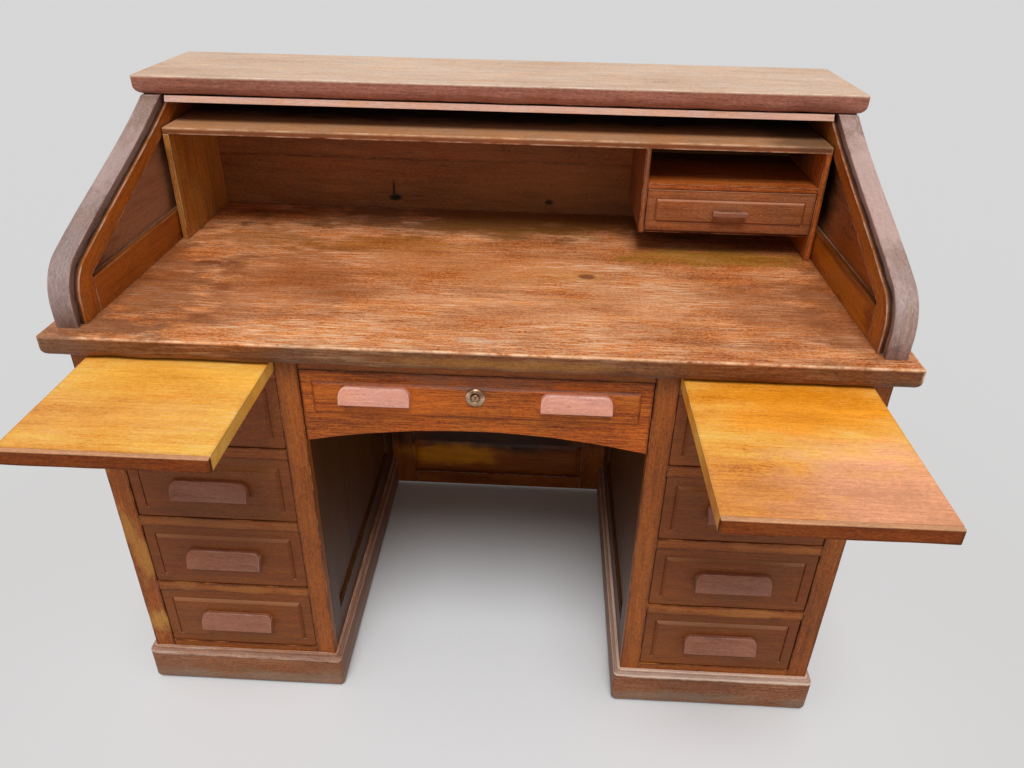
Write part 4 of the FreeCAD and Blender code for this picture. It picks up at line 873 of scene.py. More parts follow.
def framed_side(piece, low, high, outer, direction, sizes):
    """Stiles, rails and planked panel of a pedestal side; outer is the face that shows.

    Returns the opening in the frame as its low and its high (y, z) corner.
    """
    x0, x1 = low[0], high[0]
    y_front, y_back = low[1] + SIDE_FRAME["front"], high[1] - SIDE_FRAME["back"]
    z_low, z_high = low[2] + SIDE_FRAME["foot"], high[2] - SIDE_FRAME["head"]
    piece.board((x0, low[1], low[2]), (x1, y_front, high[2]), "z")
    piece.board((x0, y_back, low[2]), (x1, high[1], high[2]), "z")
    piece.board((x0, y_front, low[2]), (x1, y_back, z_low), "y")
    piece.board((x0, y_front, z_high), (x1, y_back, high[2]), "y")
    p0, p1 = sorted(outer - direction * sunk for sunk in (PANEL_SUNK, PANEL_SUNK + PANEL_THICK))
    piece.planks((p0, y_front, z_low), (p1, y_back, z_high), "z", "y",
                 round((y_back - y_front) / 1000 / sizes.plank_width))
    return (y_front, z_low), (y_back, z_high)


def panel_moulding(piece, low, high, face, direction, width=7.0, depth=5.5):
    """Quarter-round beads inside a frame's opening, mitred, on the panel's face.

    low and high are (y, z) corners of the opening, and face the x of the panel's surface.
    """
    section = [(0.0, 0.0), (width, 0.0), (width * 0.85, depth * 0.45), (width * 0.5, depth * 0.85),
               (0.0, depth)]
    piece.loft([[placed("x", a + way_a * inset, b + way_b * inset, face + direction * out)
                 for inset, out in section]
                for (a, b), (way_a, way_b) in outline(rectangle(low, high, 0, 1), 0.01, 60.0)],
               "z", loop=True)


# ------------------------------------------------------------------ pedestals
def pedestal_sides(sizes, made):
    for side, sign in SIDES:
        for which, direction, oak in (("outer", 1, "case_oak"), ("knee", -1, "knee_oak")):
            low, high = span(f"right_pedestal_{which}_side")
            outer = high[0] if direction > 0 else low[0]
            low, high = swapped(low, high, sign)
            piece = Piece(f"{side}_{which}_side_boards", sizes.edge_wear)
            opening = framed_side(piece, low, high, outer * sign, direction * sign, sizes)
            panel = (outer - direction * PANEL_SUNK) * sign
            panel_moulding(piece, *opening, panel, direction * sign)
            piece.finish(made[oak], "case", [f"{side}_pedestal_{which}_side"], "case_oak")


def face_frames(sizes, made):
    """Stiles, and a rail in every gap between the openings of the drawers and the slide."""
    low, high = span("right_pedestal_face_frame")
    stile = sizes.stile_width * 1000
    left, right = low[0] + stile, high[0] - stile
    edges = [low[2]]
    for row in reversed(ROWS):
        edges += front_edges(row)
    edges.append(slide_foot())
    for side, sign in SIDES:
        piece = Piece(f"{side}_face_frame_boards", sizes.edge_wear)
        for x0, x1 in ((low[0], left), (right, high[0])):
            piece.board(*swapped((x0, low[1], low[2]), (x1, high[1], high[2]), sign), "z")
        for foot, top in zip(edges[::2], edges[1::2]):
            rail = (left, low[1] + RAIL_SET_BACK, foot), (right, high[1], top)
            piece.board(*swapped(*rail, sign), "x")
        piece.finish(made["case_oak"], "case", [f"{side}_pedestal_face_frame"], "case_oak")


def front_edges(row):
    """Foot and top of the opening round a drawer front, with its play."""
    low, high = span(f"right_drawer_{row}_front")
    return low[2] - FRONT_PLAY, high[2] + FRONT_PLAY


def slide_foot():
    """Height of the runners and the rail under a writing slide."""
    return span("right_writing_slide")[0][2] - SLIDE_GAP


def front_face():
    """The y of a drawer front's flat margin, a little behind the face frame."""
    return span("right_pedestal_face_frame")[0][1] + FRONT_SET_BACK


def pedestal_backs(sizes, made):
    low, high = span("right_pedestal_back")
    left, right = low[0] + BACK_FRAME["stile"], high[0] - BACK_FRAME["stile"]
    sill, head = low[2] + BACK_FRAME["foot"], high[2] - BACK_FRAME["head"]
    panel = high[1] - PANEL_SUNK
    for side, sign in SIDES:
        piece = Piece(f"{side}_pedestal_back_boards", sizes.edge_wear)
        for a, b, grain in ((low, (left, high[1], high[2]), "z"),
                            ((right, low[1], low[2]), high, "z"),
                            ((left, low[1], low[2]), (right, high[1], sill), "x"),
                            ((left, low[1], head), (right, high[1], high[2]), "x")):
            piece.board(*swapped(a, b, sign), grain)
        piece.planks(*swapped((left, panel - PANEL_THICK, sill), (right, panel, head), sign),
                     "z", "x", 2)
        piece.finish(made["case_oak"], "case", [f"{side}_pedestal_back"], "case_oak")


def base_profiles():
    """Sections, as (outwards from the case, height), of a base board and the strip over it.

    The board has a rounded foot. The strip is an ovolo under two small steps.
    """
    out, inner, top = BASE["out"], BASE["out"] - BASE["thick"], BASE["height"] - 0.2
    foot = [(out * math.sin(a), out - out * math.cos(a))
            for a in (math.pi / 2 * k / 6 for k in range(7))]
    board = [(inner, 0), *foot, (out, 45), (out, top - 1.4), (out - 0.6, top), (inner, top)]
    ovolo = [(5.6 + 6.4 * math.cos(a), 77 + 6 * math.sin(a))
             for a in (1.4 * k / 7 for k in range(8))]
    strip = [(0, 74.2), (11.6, 74.2), (12, 74.6), *ovolo, (6.0, 82.3), (5.2, 82.5), (5.0, 85.3),
             (4.3, 86), (0, 86)]
    return board, strip


def base_boards(sizes, made):
    """Boards round the knee, the front and the outer side, and one across the back."""
    board, strip = base_profiles()
    low, high = span("right_pedestal_plinth")
    out, thick, back = BASE["out"], BASE["thick"], high[1]
    knee, outer, front = low[0] + out, high[0] - out, low[1] + out
    inner = (low[0] + thick, back - thick, 0.0), (high[0] - thick, back, BASE["height"])
    for side, sign in SIDES:
        line = [(knee, back - out), (knee, front), (outer, front), (outer, back)]
        if sign < 0:
            line = [(-x, y) for x, y in reversed(line)]
        rim = outline(line, 9.0, 22.0, closed=False, bends=5)
        piece = Piece(f"{side}_base_boards", sizes.edge_wear)
        piece.run(rim, board, sway=0.5)
        piece.board(*swapped(*inner, sign), "x")
        piece.finish(made["plinth_oak"], "case", [f"{side}_pedestal_plinth"], "plinth_oak")
        moulding = Piece(f"{side}_base_moulding", sizes.edge_wear)
        moulding.run(rim, strip, sway=0.4)
        moulding.finish(made["moulding_oak"], "case", slot="plinth_oak")


def runners(sizes, made):
    """A runner on each side under every drawer and slide; the drawers' also have a guide."""
    feet = [front_edges(row)[0] for row in ROWS] + [slide_foot()]
    low, high = span("right_pedestal_runners")
    for side, sign in SIDES:
        piece = Piece(f"{side}_runner_boards", sizes.edge_wear)
        for index, foot in enumerate(feet):
            boards = [(RUNNER["width"], foot - RUNNER["thick"], foot)]
            if index < len(ROWS):
                boards.append((RUNNER["guide_width"], foot, foot + RUNNER["guide_height"]))
            for end, way in ((low[0], 1), (high[0], -1)):
                for width, z0, z1 in boards:
                    x0, x1 = sorted((end, end + way * width))
                    piece.board(*swapped((x0, low[1], z0), (x1, high[1], z1), sign), "y", 0.8, 120)
        piece.finish(made["runner_poplar"], "case", [f"{side}_pedestal_runners"], "runner_poplar")
    piece = Piece("center_runner_boards", sizes.edge_wear)
    low, high = span("center_drawer_runners")
    for sign in (1, -1):
        inner = (high[0] - RUNNER["width"], low[1], low[2])
        piece.board(*swapped(inner, high, sign), "y", 0.8, 120)
    piece.finish(made["runner_poplar"], "case", ["center_drawer_runners"], "runner_poplar")


# ------------------------------------------------------------------ drawers
def pull(piece, centre, low, high, length, sizes):
    """A carved finger pull: a flat front that slopes from a thin rim out to a lip.

    low and high bound it in depth and height. Cut across, the same section repeats all along,
    and its top dips round the upper corners. The grain's through axis starts at the sloping
    face, so that the wear follows the rim of that face.
    """
    corner, rim, lip = (size * 1000 for size in (sizes.pull_corner, sizes.pull_rim, sizes.pull_lip))
    face, foot, reach, height = high[1], low[2], high[1] - low[1], high[2] - low[2]
    half, brow = length / 2, lip / 2
    crown, ease = 1.4, 1.2              # bulge of the sloping face, rounding of the edges
    hollow_top, web = 13.0, 2.6         # height of the finger hollow, wood behind it

    def depth(up):
        """Depth of the sloping face at this height, with its slight crown."""
        t = min(1.0, (height - up) / (height - brow))
        return rim + (reach - rim) * t + crown * math.sin(math.pi * t)

    places = [half - corner + corner * math.sin(math.pi / 2 * k / 8) for k in range(9)]
    places += [half - lip - 0.05, half - lip, half - ease] + [half * k / 8 for k in range(7)]
    rings, local = [], []
    for x in sorted({-p for p in places} | set(places)):
        past = max(0.0, abs(x) - half + corner)
        top = height - corner + math.sqrt(max(0.0, corner ** 2 - past ** 2))
        hollow = hollow_top if abs(x) <= half - lip - 0.04 else 0.0
        turn = 0.9 * max(0.0, (abs(x) - half + ease) / ease) ** 2
        front = [(depth(up) - turn, up) for up in (top - (top - brow) * k / 8 for k in range(9))]
        front[0] = (front[0][0] - ease, top)
        front.insert(1, (depth(top - 0.4) - turn - 0.3, top - 0.4))
        front.insert(2, (depth(top - 1.4) - turn, top - 1.4))
        tip = reach - turn
        section = [(0, top), *front, (tip, 1.4), (tip - ease, 0), (reach - lip, 0),
                   (reach - lip, hollow), (web, hollow), (web, 0), (0, 0)]
        rings.append([Vector((centre + x, face - out, foot + up)) for out, up in section])
        local += [(x, up + height - top, min(0.0, out - depth(up))) for out, up in section]
    piece.loft(rings, local=local)


def drawer_fronts(sizes, made):
    margin, bevel = sizes.field_margin * 1000, sizes.field_bevel * 1000
    length, height = sizes.pull_length * 1000, sizes.pull_height * 1000
    face = front_face()
    for drawer in (f"{side}_drawer_{row}" for side, _ in SIDES for row in ROWS):
        low, high = span(f"{drawer}_front")
        front = Piece(f"{drawer}_face", sizes.edge_wear)
        front.stack(outline(rectangle(low, high), 1.2, 24.0),
                    field_rings(high[1], face, FIELD_RISE, margin, bevel, 1.0), "y", "x")
        front.finish(made["drawer_front_oak"], drawer, [f"{drawer}_front"], "drawer_front_oak")
        grip = Piece(f"{drawer}_pull", sizes.edge_wear)
        foot = (low[2] + high[2] - height) / 2 + sizes.pull_raise * 1000
        pull(grip, (low[0] + high[0]) / 2, (0, low[1], foot),
             (0, face - FIELD_RISE, foot + height), length, sizes)
        grip.finish(made["pull_walnut"], drawer, slot="pull_walnut")


def drawer_box(drawer, sizes, made, tails, away, board=12.0, rise=6.0, bottom=6.0, depth=13.0):
    """Sides, back and bottom of a drawer's box, with the bottom raised between the sides.

    Each front corner has this many dovetails, this far away from the box's edges.
    """
    low, high = span(f"{drawer}_box")
    x0, x1, floor = low[0] + board, high[0] - board, low[2] + rise
    piece = Piece(f"{drawer}_box_boards", sizes.edge_wear)
    piece.board(low, (x0, high[1], high[2]), "y", 0.8, 60)
    piece.board((x1, low[1], low[2]), high, "y", 0.8, 60)
    piece.board((x0, high[1] - board, low[2]), (x1, high[1], high[2]), "x", 0.8, 60)
    piece.board((x0, low[1], floor), (x1, high[1] - board, floor + bottom), "x", 0.4, 80)
    piece.finish(made["drawer_box_poplar"], drawer, [f"{drawer}_box"], "drawer_box_poplar")
    joint = Piece(f"{drawer}_dovetails", sizes.edge_wear)
    for x, direction in ((low[0], -1), (high[0], 1)):
        dovetails(joint, x, direction, low[1], low[2] + away, high[2] - away, tails, depth)
    joint.finish(made["drawer_front_oak"], drawer, slot="drawer_front_oak")


def dovetails(piece, x, direction, front, foot, top, count, depth):
    """Lapped dovetails: the front's pins, seen as darker wedges on a box side's face."""
    pitch = (top - foot) / count
    wide, narrow = pitch * 0.30, pitch * 0.16
    x0, x1 = sorted((x - direction * 2, x + direction * 0.15))
    for k in range(count):
        middle = foot + pitch * (k + 0.5)
        corners = [(front, middle - wide), (front + depth, middle - narrow),
                   (front + depth, middle + narrow), (front, middle + wide)]
        piece.stack(outline(corners, 0.3, 20.0), [(0, x0, 0, 0), (0, x1, 0, 0)], "x", "z")


def drawer_boxes(sizes, made):
    for side, _ in SIDES:
        for row in ROWS:
            drawer_box(f"{side}_drawer_{row}", sizes, made, 4, 4.0)


def center_drawer(sizes, made):
    """Arched front with its raised field, two pulls and the wide shallow box."""
    bevel, face = sizes.field_bevel * 1000, front_face()
    low, high = span("center_drawer_front")
    half, rise = high[0], 31.0
    radius = (half ** 2 + rise ** 2) / (2 * rise)
    arch = [(x, low[2] + rise - radius + math.sqrt(radius ** 2 - x ** 2))
            for x in (-half + 2 * half * k / 24 for k in range(25))]
    front = Piece("center_drawer_face", sizes.edge_wear)
    front.stack(outline([*arch, (half, high[2]), (-half, high[2])], 1.2, 26.0),
                [(0, high[1], 0, 0), *reversed(arris(face, 1.4, 1))], "y", "x")
    front.stack(outline(rectangle((-263.0, 658.0), (263.0, 717.5), 0, 1), 0.8, 26.0),
                [(0, face + 1, 0, 0), (0.3, face - 0.4, 0, 0),
                 (bevel, face - FIELD_RISE + 0.5, 0, 0), (bevel + 0.7, face - FIELD_RISE, 0, 0)],
                "y", "x")
    front.finish(made["center_front_oak"], "center_drawer", ["center_drawer_front"],
                 "drawer_front_oak")
    grips = Piece("center_drawer_pair_of_pulls", sizes.edge_wear)
    low, high = span("center_drawer_pulls")
    length = sizes.center_pull_length * 1000
    for sign in (-1, 1):
        pull(grips, sign * (high[0] - length / 2), low, high, length, sizes)
    grips.finish(made["center_pull_walnut"], "center_drawer", ["center_drawer_pulls"],
                 "pull_walnut")
    drawer_box("center_drawer", sizes, made, 3, 3.0)


# ------------------------------------------------------------------ lock
def turned(piece, section, centre, steps=48, loop=False):
    """Adds a part turned on an axis along Y: section is (radius, y) from the back to the front."""
    piece.loft([[Vector((centre[0] + radius * math.cos(2 * math.pi * k / steps), y,
                         centre[1] + radius * math.sin(2 * math.pi * k / steps)))
                 for k in range(steps)] for radius, y in section], "y", loop=loop)


def lock(sizes, made):
    """Cast rosette round the keyhole, cylinder, case and bolt."""
    low, high = span("lock_housing")
    plug_low, plug_high = span("lock_plug")
    bolt_low, bolt_high = span("lock_bolt")
    front, face, z = low[1], low[1] + 4, (plug_low[2] + plug_high[2]) / 2
    rose = [(9.3, face + 22), (9.3, face), (16.5, face), (16.5, face - 0.8), (16.1, face - 1.9),
            (15.1, front + 1.0), (13.8, front + 0.3), (12.3, front), (10.7, front + 0.2),
            (9.2, front + 0.9), (7.9, front + 2.0), (7.0, front + 2.8), (6.45, front + 3.3),
            (6.45, face + 22)]
    rosette = Piece("lock_rosette", 0)
    turned(rosette, rose, (0, z), loop=True)
    rosette.finish(made["brass"], "center_drawer", slot="brass")

    # The case leaves the bolt a well, which is open at the top and has the cylinder before it.
    case = Piece("lock_case", 0)
    half, gap, behind, back = 9.4, 0.4, high[1] - 14, high[1]
    well = bolt_low[1] - gap, bolt_high[1] + gap
    for x0, x1, y0, y1, top in ((low[0], -half, behind, back, high[2]),
                                (half, high[0], behind, back, high[2]),
                                (-half, half, behind, well[0], high[2]),
                                (-half, half, well[1], back, high[2]),
                                (-half, half, well[0], well[1], bolt_low[2] - gap)):
        case.board((x0, y0, low[2]), (x1, y1, top), "z", 0.6)
    case.finish(made["brass"], "center_drawer", ["lock_housing"], "brass")

    # The cylinder's front has a keyhole: a round top over a narrower slot.
    plug = Piece("lock_cylinder", 0)
    circle = [(math.cos(math.pi * k / 20), math.sin(math.pi * k / 20)) for k in range(40)]
    rings = [[Vector((radius * across, y, z + radius * up)) for across, up in circle]
             for radius, y in ((5.9, plug_high[1]), (5.9, front + 0.5), (5.4, front + 0.05))]
    rings += [[Vector(((1.5 if up > 0.35 else 0.75) * across, y, z + 3.0 * up))
               for across, up in circle] for y in (front + 0.05, front + 5.0)]
    plug.loft(rings, "y")
    plug.finish(made["brass"], "lock_plug", ["lock_plug"], "brass")
    bolt = Piece("lock_bolt_bar", 0)
    bolt.board(bolt_low, bolt_high, "z", 0.9, 6)
    bolt.finish(made["brass"], "lock_bolt", ["lock_bolt"], "brass")


# ------------------------------------------------------------------ writing slides
def writing_slides(sizes, made):
    """Maple boards, each with a stained lipping along its front edge."""
    for node in (f"{side}_writing_slide" for side, _ in SIDES):
        name = node.replace("writing_", "")
        low, high = span(node)
        seam = low[1] + 8
        piece = Piece(f"{name}_boards", sizes.edge_wear)
        piece.board((low[0], seam, low[2]), high, "x", 0.3, 60.0)
        piece.finish(made["slide_maple"], node, [node], "slide_maple")
        lipping = Piece(f"{name}_lipping", sizes.edge_wear)
        lipping.board(low, (high[0], seam - 0.1, high[2]), "x", 1.4, 15)
        lipping.finish(made["lipping_oak"], node, slot="drawer_front_oak")


# ------------------------------------------------------------------ kneehole
def kneehole(sizes, made):
    """Rail over the kneehole drawer, with the bolt's slot in it, and the modesty panel."""
    low, high = span("kneehole_rail")
    seam, half, slot_back, slot_top = -154.2, 10.2, -145.8, low[2] + 9.2
    rail = Piece("kneehole_rail_board", sizes.edge_wear)
    rail.board(low, (high[0], seam - 0.1, high[2]), "x", 1.0, 40)
    rail.board((low[0], seam, low[2]), (-half, high[1], high[2]), "x", 0.6, 80)
    rail.board((half, seam, low[2]), high, "x", 0.6, 80)
    rail.board((-half, seam, slot_top), (half, high[1], high[2]), "x", 0.4, 80)
    rail.board((-half, slot_back, low[2]), (half, high[1], slot_top), "x", 0.4, 80)
    rail.finish(made["case_oak"], "case", ["kneehole_rail"], "case_oak")

    low, high = span("modesty_panel")
    piece = Piece("modesty_panel_boards", sizes.edge_wear)
    inner = high[0] - 60
    for x0, x1 in ((low[0], -inner), (inner, high[0])):
        piece.board((x0, low[1], low[2]), (x1, high[1], high[2]), "z")
    levels = ((low[2], low[2] + 39), (145, 209), (high[2] - 60, high[2]))
    for foot, top in levels:
        piece.board((-inner, low[1], foot), (inner, high[1], top), "x")
    for (_, foot), (top, _) in zip(levels, levels[1:]):
        field = 38 if top - foot > 200 else 14
        piece.stack(outline(rectangle((-inner, foot), (inner, top), 0, 1), 0.6, 60.0),
                    [(0, high[1] - 2, 0, 0), (0, low[1] + 8, 0, 0), (field, low[1] + 4.4, 0, 0),
                     (field + 0.4, low[1] + 3.4, 0, 0), (field + 1.2, low[1] + 3, 0, 0)], "y", "x")
    piece.finish(made["inner_deep_oak"], "case", ["modesty_panel"], "inner_oak")


# ------------------------------------------------------------------ desktop and deck
def slab(piece, low, high, lower, upper):
    """A thick glued-up board, rounded under its front and ends, with a worn upper arris."""
    rings = arris(low[2], lower, 1, 5) + arris(high[2], upper, -1, 3)
    piece.stack(outline(rectangle(low, high, 0, 1), 2.0, 14.0), rings, "z", "x")


def desktop(sizes, made):
    for node, name, edge, finish in (
            ("desktop", "desktop_board", sizes.desktop_edge, "desktop_oak"),
            ("top_deck", "deck_board", sizes.deck_edge, "deck_oak")):
        piece = Piece(name, sizes.edge_wear * 0.35)
        slab(piece, *span(node), edge * 1000, 2.4)
        piece.finish(made[finish], "case", [node], finish)


# ------------------------------------------------------------------ roll sides
# The S rail bends from upright to its slope round a centre at this height. Its widths are those
# of its upright foot and of its slope. The frame behind it lies between heel and back; its top
# rail is grooved from one height to the other.
BEND = {"front": -177.0, "radius": 80.0, "level": 829.0, "slope": math.radians(22.5)}
RAIL_WIDTH = {"foot": 66.0, "slope": 48.0}
ROLL_FRAME = {"heel": -111.0, "back": 435.0, "foot": 57.0, "head": 60.0, "groove": (1043.0, 1055.0)}


def slope_point(inset, top):
    """Where the straight slope, moved inwards by inset, reaches height top: (y, z)."""
    turn = math.pi / 2 + BEND["slope"]
    reach = BEND["radius"] - inset
    y = BEND["front"] + BEND["radius"] + reach * math.cos(turn)
    z = BEND["level"] + reach * math.sin(turn)
    return y + (top - z) / math.tan(BEND["slope"]), top


def roll_stations(inset_at, foot, top):
    """Points up the S-shaped front at one inset, from the desktop's top to the deck.

    inset_at gives the inset for an angle round the bend. The outer edge is slightly hollow.
    """
    centre, straights, bends, slopes = BEND["front"] + BEND["radius"], 5, 14, 22
    places = [(BEND["front"] + inset_at(0.0), foot + (BEND["level"] - foot) * k / straights)
              for k in range(straights)]
    for k in range(bends + 1):
        phi = (math.pi / 2 - BEND["slope"]) * k / bends
        reach = BEND["radius"] - inset_at(phi)
        places.append((centre - reach * math.cos(phi), BEND["level"] + reach * math.sin(phi)))
    past = inset_at(math.pi)
    start, end = places[-1], slope_point(past, top)
    hollow = 45.0 if past < 40 else 0.0
    for k in range(1, slopes + 1):
        t = k / slopes
        bow = hollow * t * (1 - t) * (t - 0.22)
        places.append((start[0] + (end[0] - start[0]) * t + bow * math.sin(BEND["slope"]),
                       start[1] + (end[1] - start[1]) * t - bow * math.cos(BEND["slope"])))
    return places


def inner_line(phi):
    """Inset of the S rail's inner edge: upright behind the bend, then along the slope."""
    turn = math.pi / 2 - BEND["slope"]
    if phi > turn + 0.01:
        return RAIL_WIDTH["slope"]
    upright = (BEND["radius"] - RAIL_WIDTH["foot"]) / math.cos(phi)
    sloping = (BEND["radius"] - RAIL_WIDTH["slope"]) / math.cos(turn - phi)
    return BEND["radius"] - min(upright, sloping)


def roll_sides(sizes, made):
    """S rails in two layers, whose step is the tambour's groove, with frame and panel behind."""
    lip, width = sizes.groove_lip * 1000, sizes.groove_width * 1000
    for side, sign in SIDES:
        low, high = span("right_roll_side")
        inner, outer, floor, edge = low[0], high[0], low[0] + 10, low[0] + 6
        layers = (("rail", "roll_side_oak", [f"{side}_roll_side"],
                   [("in", floor), (lip, floor), (lip, edge + 0.7), (lip - 0.7, edge), (1.2, edge),
                    (0.0, edge + 1.2), (0.0, outer - 1.0), (1.0, outer), ("in", outer)]),
                  ("inner_rail", "rail_oak", [],
                   [("in", inner), ("in", floor), (lip + width, floor), (lip + width, inner + 0.8),
                    (lip + width + 0.8, inner)]))
        for name, finish, replaces, section in layers:
            strings = []
            for inset, x in section:
                at = inner_line if inset == "in" else (lambda phi, inset=inset: inset)
                strings.append([Vector((x * sign, y, z))
                                for y, z in roll_stations(at, low[2], high[2])])
            rings = [list(ring) for ring in zip(*strings)]
            piece = Piece(f"{side}_roll_{name}", sizes.edge_wear)
            piece.loft(rings, local=along_roll(rings, section, name))
            slot = "inner_oak" if finish == "rail_oak" else finish
            piece.finish(made[finish], "case", replaces, slot)
        roll_frame(side, sign, inner, floor, outer, low, high, sizes, made)


def along_roll(rings, section, name):
    """Grain places for the S rail: along it, then across its front and inwards.

    The inner rail's board faces inwards, so that its groove wall counts as a side of the board.
    """
    places, travelled, before = [], 0.0, None
    for ring in rings:
        middle = sum(ring, Vector()) / len(ring)
        travelled += (middle - before).length if before else 0.0
        before = middle
        for inset, x in section:
            deep = RAIL_WIDTH["slope"] if inset == "in" else inset
            places.append((travelled, x, deep) if name == "rail" else (travelled, deep, -x))
    return places


def roll_frame(side, sign, inner, floor, outer, low, high, sizes, made):
    """Bottom rail, back stile and grooved top rail round a roll side's panel, in two layers."""
    heel, back, inset = ROLL_FRAME["heel"], ROLL_FRAME["back"], RAIL_WIDTH["slope"]
    sill, head = low[2] + ROLL_FRAME["foot"], high[2] - ROLL_FRAME["head"]
    under, over = ROLL_FRAME["groove"]
    layers = (("frame", "roll_side_oak", "roll_side_oak", floor, outer, ((head, high[2]),)),
              ("inner_frame", "inner_deep_oak", "inner_oak", inner, floor,
               ((head, under), (over, high[2]))))
    for name, finish, slot, x0, x1, bands in layers:
        piece = Piece(f"{side}_roll_{name}", sizes.edge_wear)
        piece.board(*swapped((x0, heel, low[2]), (x1, back, sill), sign), "y", 0.8)
        piece.board(*swapped((x0, back, low[2]), (x1, high[1], high[2]), sign), "z", 0.8)
        x_low, x_high = sorted((x0 * sign, x1 * sign))
        for foot, top in bands:
            corners = [slope_point(inset, foot), (back, foot), (back, top),
                       slope_point(inset, top)]
            piece.stack(outline(corners, 0.5, 60.0),
                        arris(x_low, 0.5, 1) + arris(x_high, 0.5, -1), "x", "y")
        piece.finish(made[finish], "case", slot=slot)
    panel = Piece(f"{side}_roll_panel_board", sizes.edge_wear)
    p_low, p_high = span("right_roll_panel")
    corners = [(heel, sill), (back, sill), (back, head), slope_point(inset, head),
               (heel, slope_height(heel, inset))]
    x_low, x_high = sorted((p_low[0] * sign, p_high[0] * sign))
    panel.stack(outline(corners, 0.5, 60.0), [(0, x_low, 0, 0), (0, x_high, 0, 0)], "x", "y")
    panel.finish(made["panel_oak"], "case", [f"{side}_roll_panel"], "inner_oak")


def slope_height(y, inset):
    """Height of the slope, moved inwards by inset, at this y."""
    y_at, z_at = slope_point(inset, 900.0)
    return z_at + (y - y_at) * math.tan(BEND["slope"])


def upper_back(sizes, made):
    """Three planked panels in a frame behind the roll."""
    rail, stile, sunk, bays = 55, 60, 3, 3
    low, high = span("upper_back_panel")
    piece = Piece("upper_back_boards", sizes.edge_wear)
    sill, head = low[2] + rail, high[2] - rail
    piece.board(low, (high[0], high[1], sill), "x")
    piece.board((low[0], low[1], head), high, "x")
    bay = (high[0] - low[0] - stile) / bays
    for index in range(bays + 1):
        left = low[0] + index * bay
        piece.board((left, low[1], sill), (left + stile, high[1], head), "z")
        if index < bays:
            piece.planks((left + stile, low[1] + sunk, sill), (left + bay, high[1] - sunk, head),
                         "z", "x", 3)
    piece.finish(made["case_oak"], "case", ["upper_back_panel"], "case_oak")


# ------------------------------------------------------------------ tambour
def long_strip(piece, section, x0, x1, step=24.0, sway=0.15):
    """A moulded strip along X, its section given as (y, z) points."""
    parts = max(2, round((x1 - x0) / step))
    seat = piece.random.random() * 100
    rings = []
    for k in range(parts + 1):
        x = x0 + (x1 - x0) * k / parts
        drift = Vector((0, sway * noise.noise(Vector((x / 60, seat, 0))),
                        sway * noise.noise(Vector((x / 60, 0, seat)))))
        rings.append([Vector((x, y, z)) + drift for y, z in section])
    piece.loft(rings, "x")


def round_corners(corners, radius, segments=3):
    """Section corners, anticlockwise, each turned into an arc."""
    points = []
    for i, corner in enumerate(corners):
        before, after = unit(corners[i - 1], corner), unit(corner, corners[(i + 1) % len(corners)])
        for k in range(segments + 1):
            first, last = radius * (1 - k / segments) ** 2, radius * (k / segments) ** 2
            points.append((corner[0] - before[0] * first + after[0] * last,
                           corner[1] - before[1] * first + after[1] * last))
    return points


def slat_section(near, far, foot, shoulder, crown):
    """Flat below, with a low crown above, and softened where it meets the next slat."""
    middle, half = (near + far) / 2, (far - near) / 2
    bow = [(middle + half * math.cos(a), shoulder + (crown - shoulder) * math.sin(a))
           for a in (math.pi * k / 8 for k in range(1, 8))]
    return [(near + 0.5, foot), (far - 0.5, foot), (far, foot + 0.5), (far, shoulder), *bow,
            (near, shoulder), (near, foot + 0.5)]


def tambour(sizes, made):
    low, high = span("tambour_bead")
    bead = Piece("tambour_nose", sizes.edge_wear)
    foot, top = low[2] + 3.4, high[2] + 2.4
    corners = [(low[1], foot), (high[1], foot), (high[1], high[2] - 3), (high[1] - 4.5, top),
               (low[1] + 4, top)]
    long_strip(bead, round_corners(corners, 1.6), low[0], high[0])
    bead.finish(made["nose_oak"], "tambour_bead", ["tambour_bead"], "tambour_oak")

    low, high = span("tambour_lead_rail")
    rail = Piece("tambour_lead_board", sizes.edge_wear)
    long_strip(rail, round_corners(rectangle(low, high, 1, 2), 1.5), low[0], high[0])
    rail.finish(made["tambour_oak"], "tambour_curtain", ["tambour_lead_rail"], "tambour_oak")

    low, high = span("tambour_slats")
    pitch = (high[1] - low[1] + 1) / sizes.slats
    slats = Piece("tambour_slat_strips", sizes.edge_wear)
    for near in (low[1] + index * pitch for index in range(sizes.slats)):
        long_strip(slats, slat_section(near, near + pitch - 1, low[2], high[2] - 3.5, high[2]),
                   low[0], high[0], 60.0, 0.05)
    slats.finish(made["tambour_oak"], "tambour_curtain", ["tambour_slats"], "tambour_oak")

    # Parked slats: two round the groove's rear bend, and nine down the back behind it.
    low, high = span("tambour_parked_slats")
    parked = Piece("tambour_parked_strips", sizes.edge_wear)
    bend_y, bend_z, reach = 445.0, 1019.0, 24.5
    flat = slat_section(-11, 11, reach, reach + 7.5, reach + 11)
    sections = [[(bend_y + y * math.cos(turn) + z * math.sin(turn),
                  bend_z - y * math.sin(turn) + z * math.cos(turn)) for y, z in flat]
                for turn in (math.radians(30.0), math.radians(60.0))]
    sections += [[(bend_y + z, bend_z - y - (index + 0.5) * pitch) for y, z in flat]
                 for index in range(9)]
    for section in sections:
        long_strip(parked, section, low[0], high[0], 60.0, 0.05)
    parked.finish(made["tambour_oak"], "case", ["tambour_parked_slats"], "tambour_oak")


